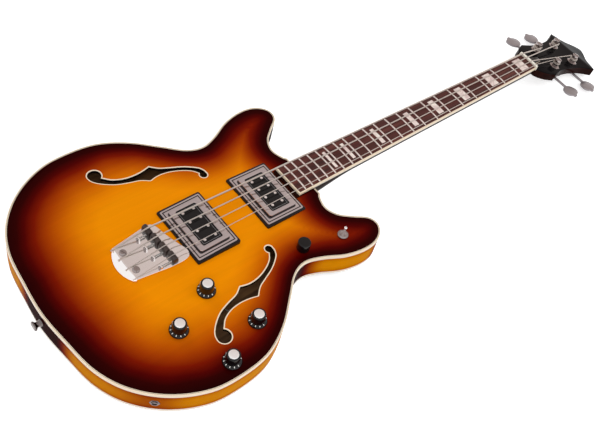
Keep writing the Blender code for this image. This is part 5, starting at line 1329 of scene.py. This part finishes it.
# Tuning machines. Each chromed post stands in a bushing through the headstock and carries a gear
# behind it, which the worm on the key's long shaft turns. Two ears of the base plate hold the shaft.
POST_ALONG = (0.060, 0.127)
POST_ASIDE = 0.0235
POST_WAIST = 0.0050
POST_TOP_R = 0.0062
POST_HEIGHT = 0.0155
POST_SLOT = (0.0009, 0.0030)
POST_HOLE = 0.0078
BUSHING_FLANGE = 0.0095
BUSHING_HEIGHT = 0.0014
TUNER_PLATE = 0.0016
TUNER_BASE = (-0.0125, -0.0125, 0.0195, 0.0130)
BASE_INSET = 0.0024
BASE_SCREW_RISE = 0.0009
BASE_SCREW_SLOT = (0.00025, 0.0005)
BASE_SCREW = [(0, BASE_SCREW_RISE), (0.0013, BASE_SCREW_RISE), (0.0018, 0.0002), (0.0018, -0.0003),
              (0, -0.0003)]
GEAR_TEETH = 16
GEAR_R = 0.0078
GEAR_THICK = 0.0030
GEAR_ROOT = 0.0067
GEAR_TOOTH = ((GEAR_ROOT, -0.30), (GEAR_R, -0.16), (GEAR_R, 0.16), (GEAR_ROOT, 0.30))
WORM_ROOT = 0.0026
WORM_THREAD = 0.0010
WORM_HALF = 0.0044
# The worm's thread in section: its radius, and the distance from the thread's middle.
WORM_SECTION = [(WORM_ROOT - 0.0006, -0.0004), (WORM_ROOT + WORM_THREAD, -0.00025),
                (WORM_ROOT + WORM_THREAD, 0.00025), (WORM_ROOT - 0.0006, 0.0004)]
KEY_SHAFT = 0.0024
KEY_COLLAR = KEY_SHAFT * 1.35
KEY_START = 0.0360
KEY_THICK = 0.0034
EAR_THICK = 0.0026
EAR_HALF = 0.0035
KEY_OUTLINE = [(0.0, 0.0000), (0.0058, 0.0010), (0.0134, 0.0046), (0.0180, 0.0113), (0.0177, 0.0182),
               (0.0118, 0.0232), (0.0051, 0.0251), (0.0028, 0.0277), (0, 0.0284)]
PLATE_TOP = -HEAD_THICK
WORM_AT = GEAR_R + WORM_ROOT + GAP
WORM_DEPTH = -HEAD_THICK - GAP - TUNER_PLATE - WORM_ROOT - WORM_THREAD - 2 * GAP
EAR_IN = WORM_HALF + GAP
ALONG_Y = Matrix(((0, 1, 0, 0), (0, 0, 1, 0), (1, 0, 0, 0), (0, 0, 0, 1)))
gear_outline = [on_circle(radius, 2 * math.pi * (tooth + part) / GEAR_TEETH)
                for tooth in range(GEAR_TEETH) for radius, part in GEAR_TOOTH]
worm_pitch = 2 * math.pi * GEAR_R / GEAR_TEETH
worm_half = WORM_HALF - 0.0008
key_half = smooth_path(KEY_OUTLINE, CURVE_STEPS)
key_finish = plain_finish("satin_key_metal", (0.30, 0.27, 0.28, 1), 0.30, 0.40, Metallic=0.7)
paddle_outline = ([(x, y + KEY_START) for x, y in key_half]
                  + [(-x, y + KEY_START) for x, y in key_half[-2:0:-1]])
tuner_places = {}
hole = POST_WAIST + 0.0004
x0, y0, x1, y1 = TUNER_BASE
base_screws = [(x0 + BASE_INSET, y0 + BASE_INSET), (x0 + BASE_INSET, y1 - BASE_INSET),
               (x1 - BASE_INSET, y0 + BASE_INSET)]
for name, side, along in (("e", 1, POST_ALONG[0]), ("a", 1, POST_ALONG[1]),
                          ("g", -1, POST_ALONG[0]), ("d", -1, POST_ALONG[1])):
    place = HEAD @ Matrix.Translation((along, side * POST_ASIDE, 0)) @ Matrix.Scale(side, 4, (0, 1, 0))
    tuner_places[name] = place
    worm_place = place @ Matrix.Translation((WORM_AT, 0, WORM_DEPTH))
    housing = box((x0, y0, PLATE_TOP), (x1, y1, PLATE_TOP - TUNER_PLATE), 0.0005)
    gather(housing, turned([
        (hole, BUSHING_HEIGHT), (hole, PLATE_TOP), (POST_HOLE, PLATE_TOP), (POST_HOLE, 0.0),
        (BUSHING_FLANGE, 0.0), (BUSHING_FLANGE, BUSHING_HEIGHT * 0.6),
        (BUSHING_FLANGE - 0.0016, BUSHING_HEIGHT), (hole, BUSHING_HEIGHT)], 36, 0.0003))
    for low in (EAR_IN, -EAR_IN - EAR_THICK):
        gather(housing, box((WORM_AT - EAR_HALF, low, PLATE_TOP - TUNER_PLATE * 0.5),
                            (WORM_AT + EAR_HALF, low + EAR_THICK, WORM_DEPTH - 0.0042), 0.0008))
    for x, y in base_screws:
        head = sawn(turned(BASE_SCREW, 20, 0.0004), BASE_SCREW_RISE, BASE_SCREW_SLOT)
        gather(housing, moved(head, placed((x, y, PLATE_TOP - TUNER_PLATE), math.pi, "X")))
    # The base plates are in the darker chrome, as painted shade.
    add_piece("tuner_base_" + name, moved(housing, place), [dim_shade_finish], "root",
              ["tuner_housing_" + name])

    low = WORM_DEPTH - GEAR_THICK / 2 - 0.0010
    barrel = POST_HEIGHT - 0.0040
    post = turned([
        (0, POST_HEIGHT), (POST_TOP_R - 0.0006, POST_HEIGHT), (POST_TOP_R, POST_HEIGHT - 0.0008),
        (POST_TOP_R, barrel), (POST_WAIST, barrel - 0.0012), (POST_WAIST, low), (0, low)], 36, 0.0004)
    post = sawn(post, POST_HEIGHT, POST_SLOT)
    gather(post, prism(gear_outline, WORM_DEPTH - GEAR_THICK / 2, WORM_DEPTH + GEAR_THICK / 2, 0.0002))
    # The posts are in the darker chrome, as painted shade.
    add_piece("winding_post_" + name, moved(post, place), [dim_shade_finish], "tuner_post_" + name,
              ["tuner_post_" + name])

    inner = -EAR_IN - EAR_THICK - 0.0012
    outer = EAR_IN + EAR_THICK + GAP
    key = turned([
        (0, inner), (WORM_ROOT, inner), (WORM_ROOT, outer), (KEY_COLLAR, outer),
        (KEY_COLLAR, outer + 0.002), (KEY_SHAFT, outer + 0.003), (KEY_SHAFT, KEY_START + 0.004),
        (0, KEY_START + 0.004)], 24, 0.0004)
    rings = []
    count = round(2 * worm_half / worm_pitch * 20)
    for k in range(count + 1):
        run = -worm_half + 2 * worm_half * k / count
        a = run / worm_pitch * 2 * math.pi + math.pi / 2
        rings.append([(*on_circle(radius, a), run + aside) for radius, aside in WORM_SECTION])
    gather(key, skin(rings))
    key = moved(key, ALONG_Y)
    gather(key, prism(paddle_outline, -KEY_THICK / 2, KEY_THICK / 2, 0.0008))
    add_piece("tuning_key_" + name, moved(key, worm_place), [key_finish], "tuner_key_" + name,
              ["tuner_key_" + name])

# Strings. Round-wound steel, each from its hole behind the bridge over its saddle and the nut, then
# twice round its post, where it stays while the post turns inside it.
WRAPS = 2
WRAP_POINTS = 36
WRAP_GAP = 0.0005
WRAP_TOP = 0.0098
WINDING_PITCH = 0.0005
STRING_SIDES = 14
# Shares of the string behind and before its saddle, with a point that keeps the bend there sharp.
BEND_SHARES = (0.02, 0.002)
string_finish = ridged("wound_steel", (0.72, 0.64, 0.58, 1), WINDING_PITCH, 0.00012, Roughness=0.28)
around = [2 * math.pi * k / STRING_SIDES for k in range(STRING_SIDES)]
for index, name in enumerate(STRING_NAMES):
    radius = STRING_D[index] / 2
    spot = saddle_spot(index)
    tail = string_tail(index)
    back = NECK @ string_spot(index, SCALE)
    wind = POST_WAIST + GAP + radius
    drop = (STRING_D[index] + WRAP_GAP) / WRAP_POINTS
    angles = [2 * math.pi * k / WRAP_POINTS - math.pi / 2 for k in range(WRAPS * WRAP_POINTS + 1)]
    turns = [tuner_places[name] @ Vector((*on_circle(wind, a), WRAP_TOP - drop * k))
             for k, a in enumerate(angles)]
    path = [tail, spot.lerp(tail, BEND_SHARES[0]), spot, spot.lerp(back, BEND_SHARES[1]), back,
            NECK @ string_spot(index, SCALE + NUT_THICK)] + turns
    rings = []
    lengths = []
    run = 0.0
    normal = Vector((0, 0, 1))
    for before, here, after in zip(path[:1] + path, path, path[1:] + path[-1:]):
        heading = (after - before).normalized()
        normal = (normal - heading * normal.dot(heading)).normalized()
        aside = heading.cross(normal)
        run += (here - before).length
        rings.append([here + (normal * math.cos(a) + aside * math.sin(a)) * radius for a in around])
        lengths += [run] * STRING_SIDES
    piece = add_piece("wound_string_" + name, skin(rings), [string_finish], "root",
                      ["string_" + name])
    store(piece, "run", lengths)
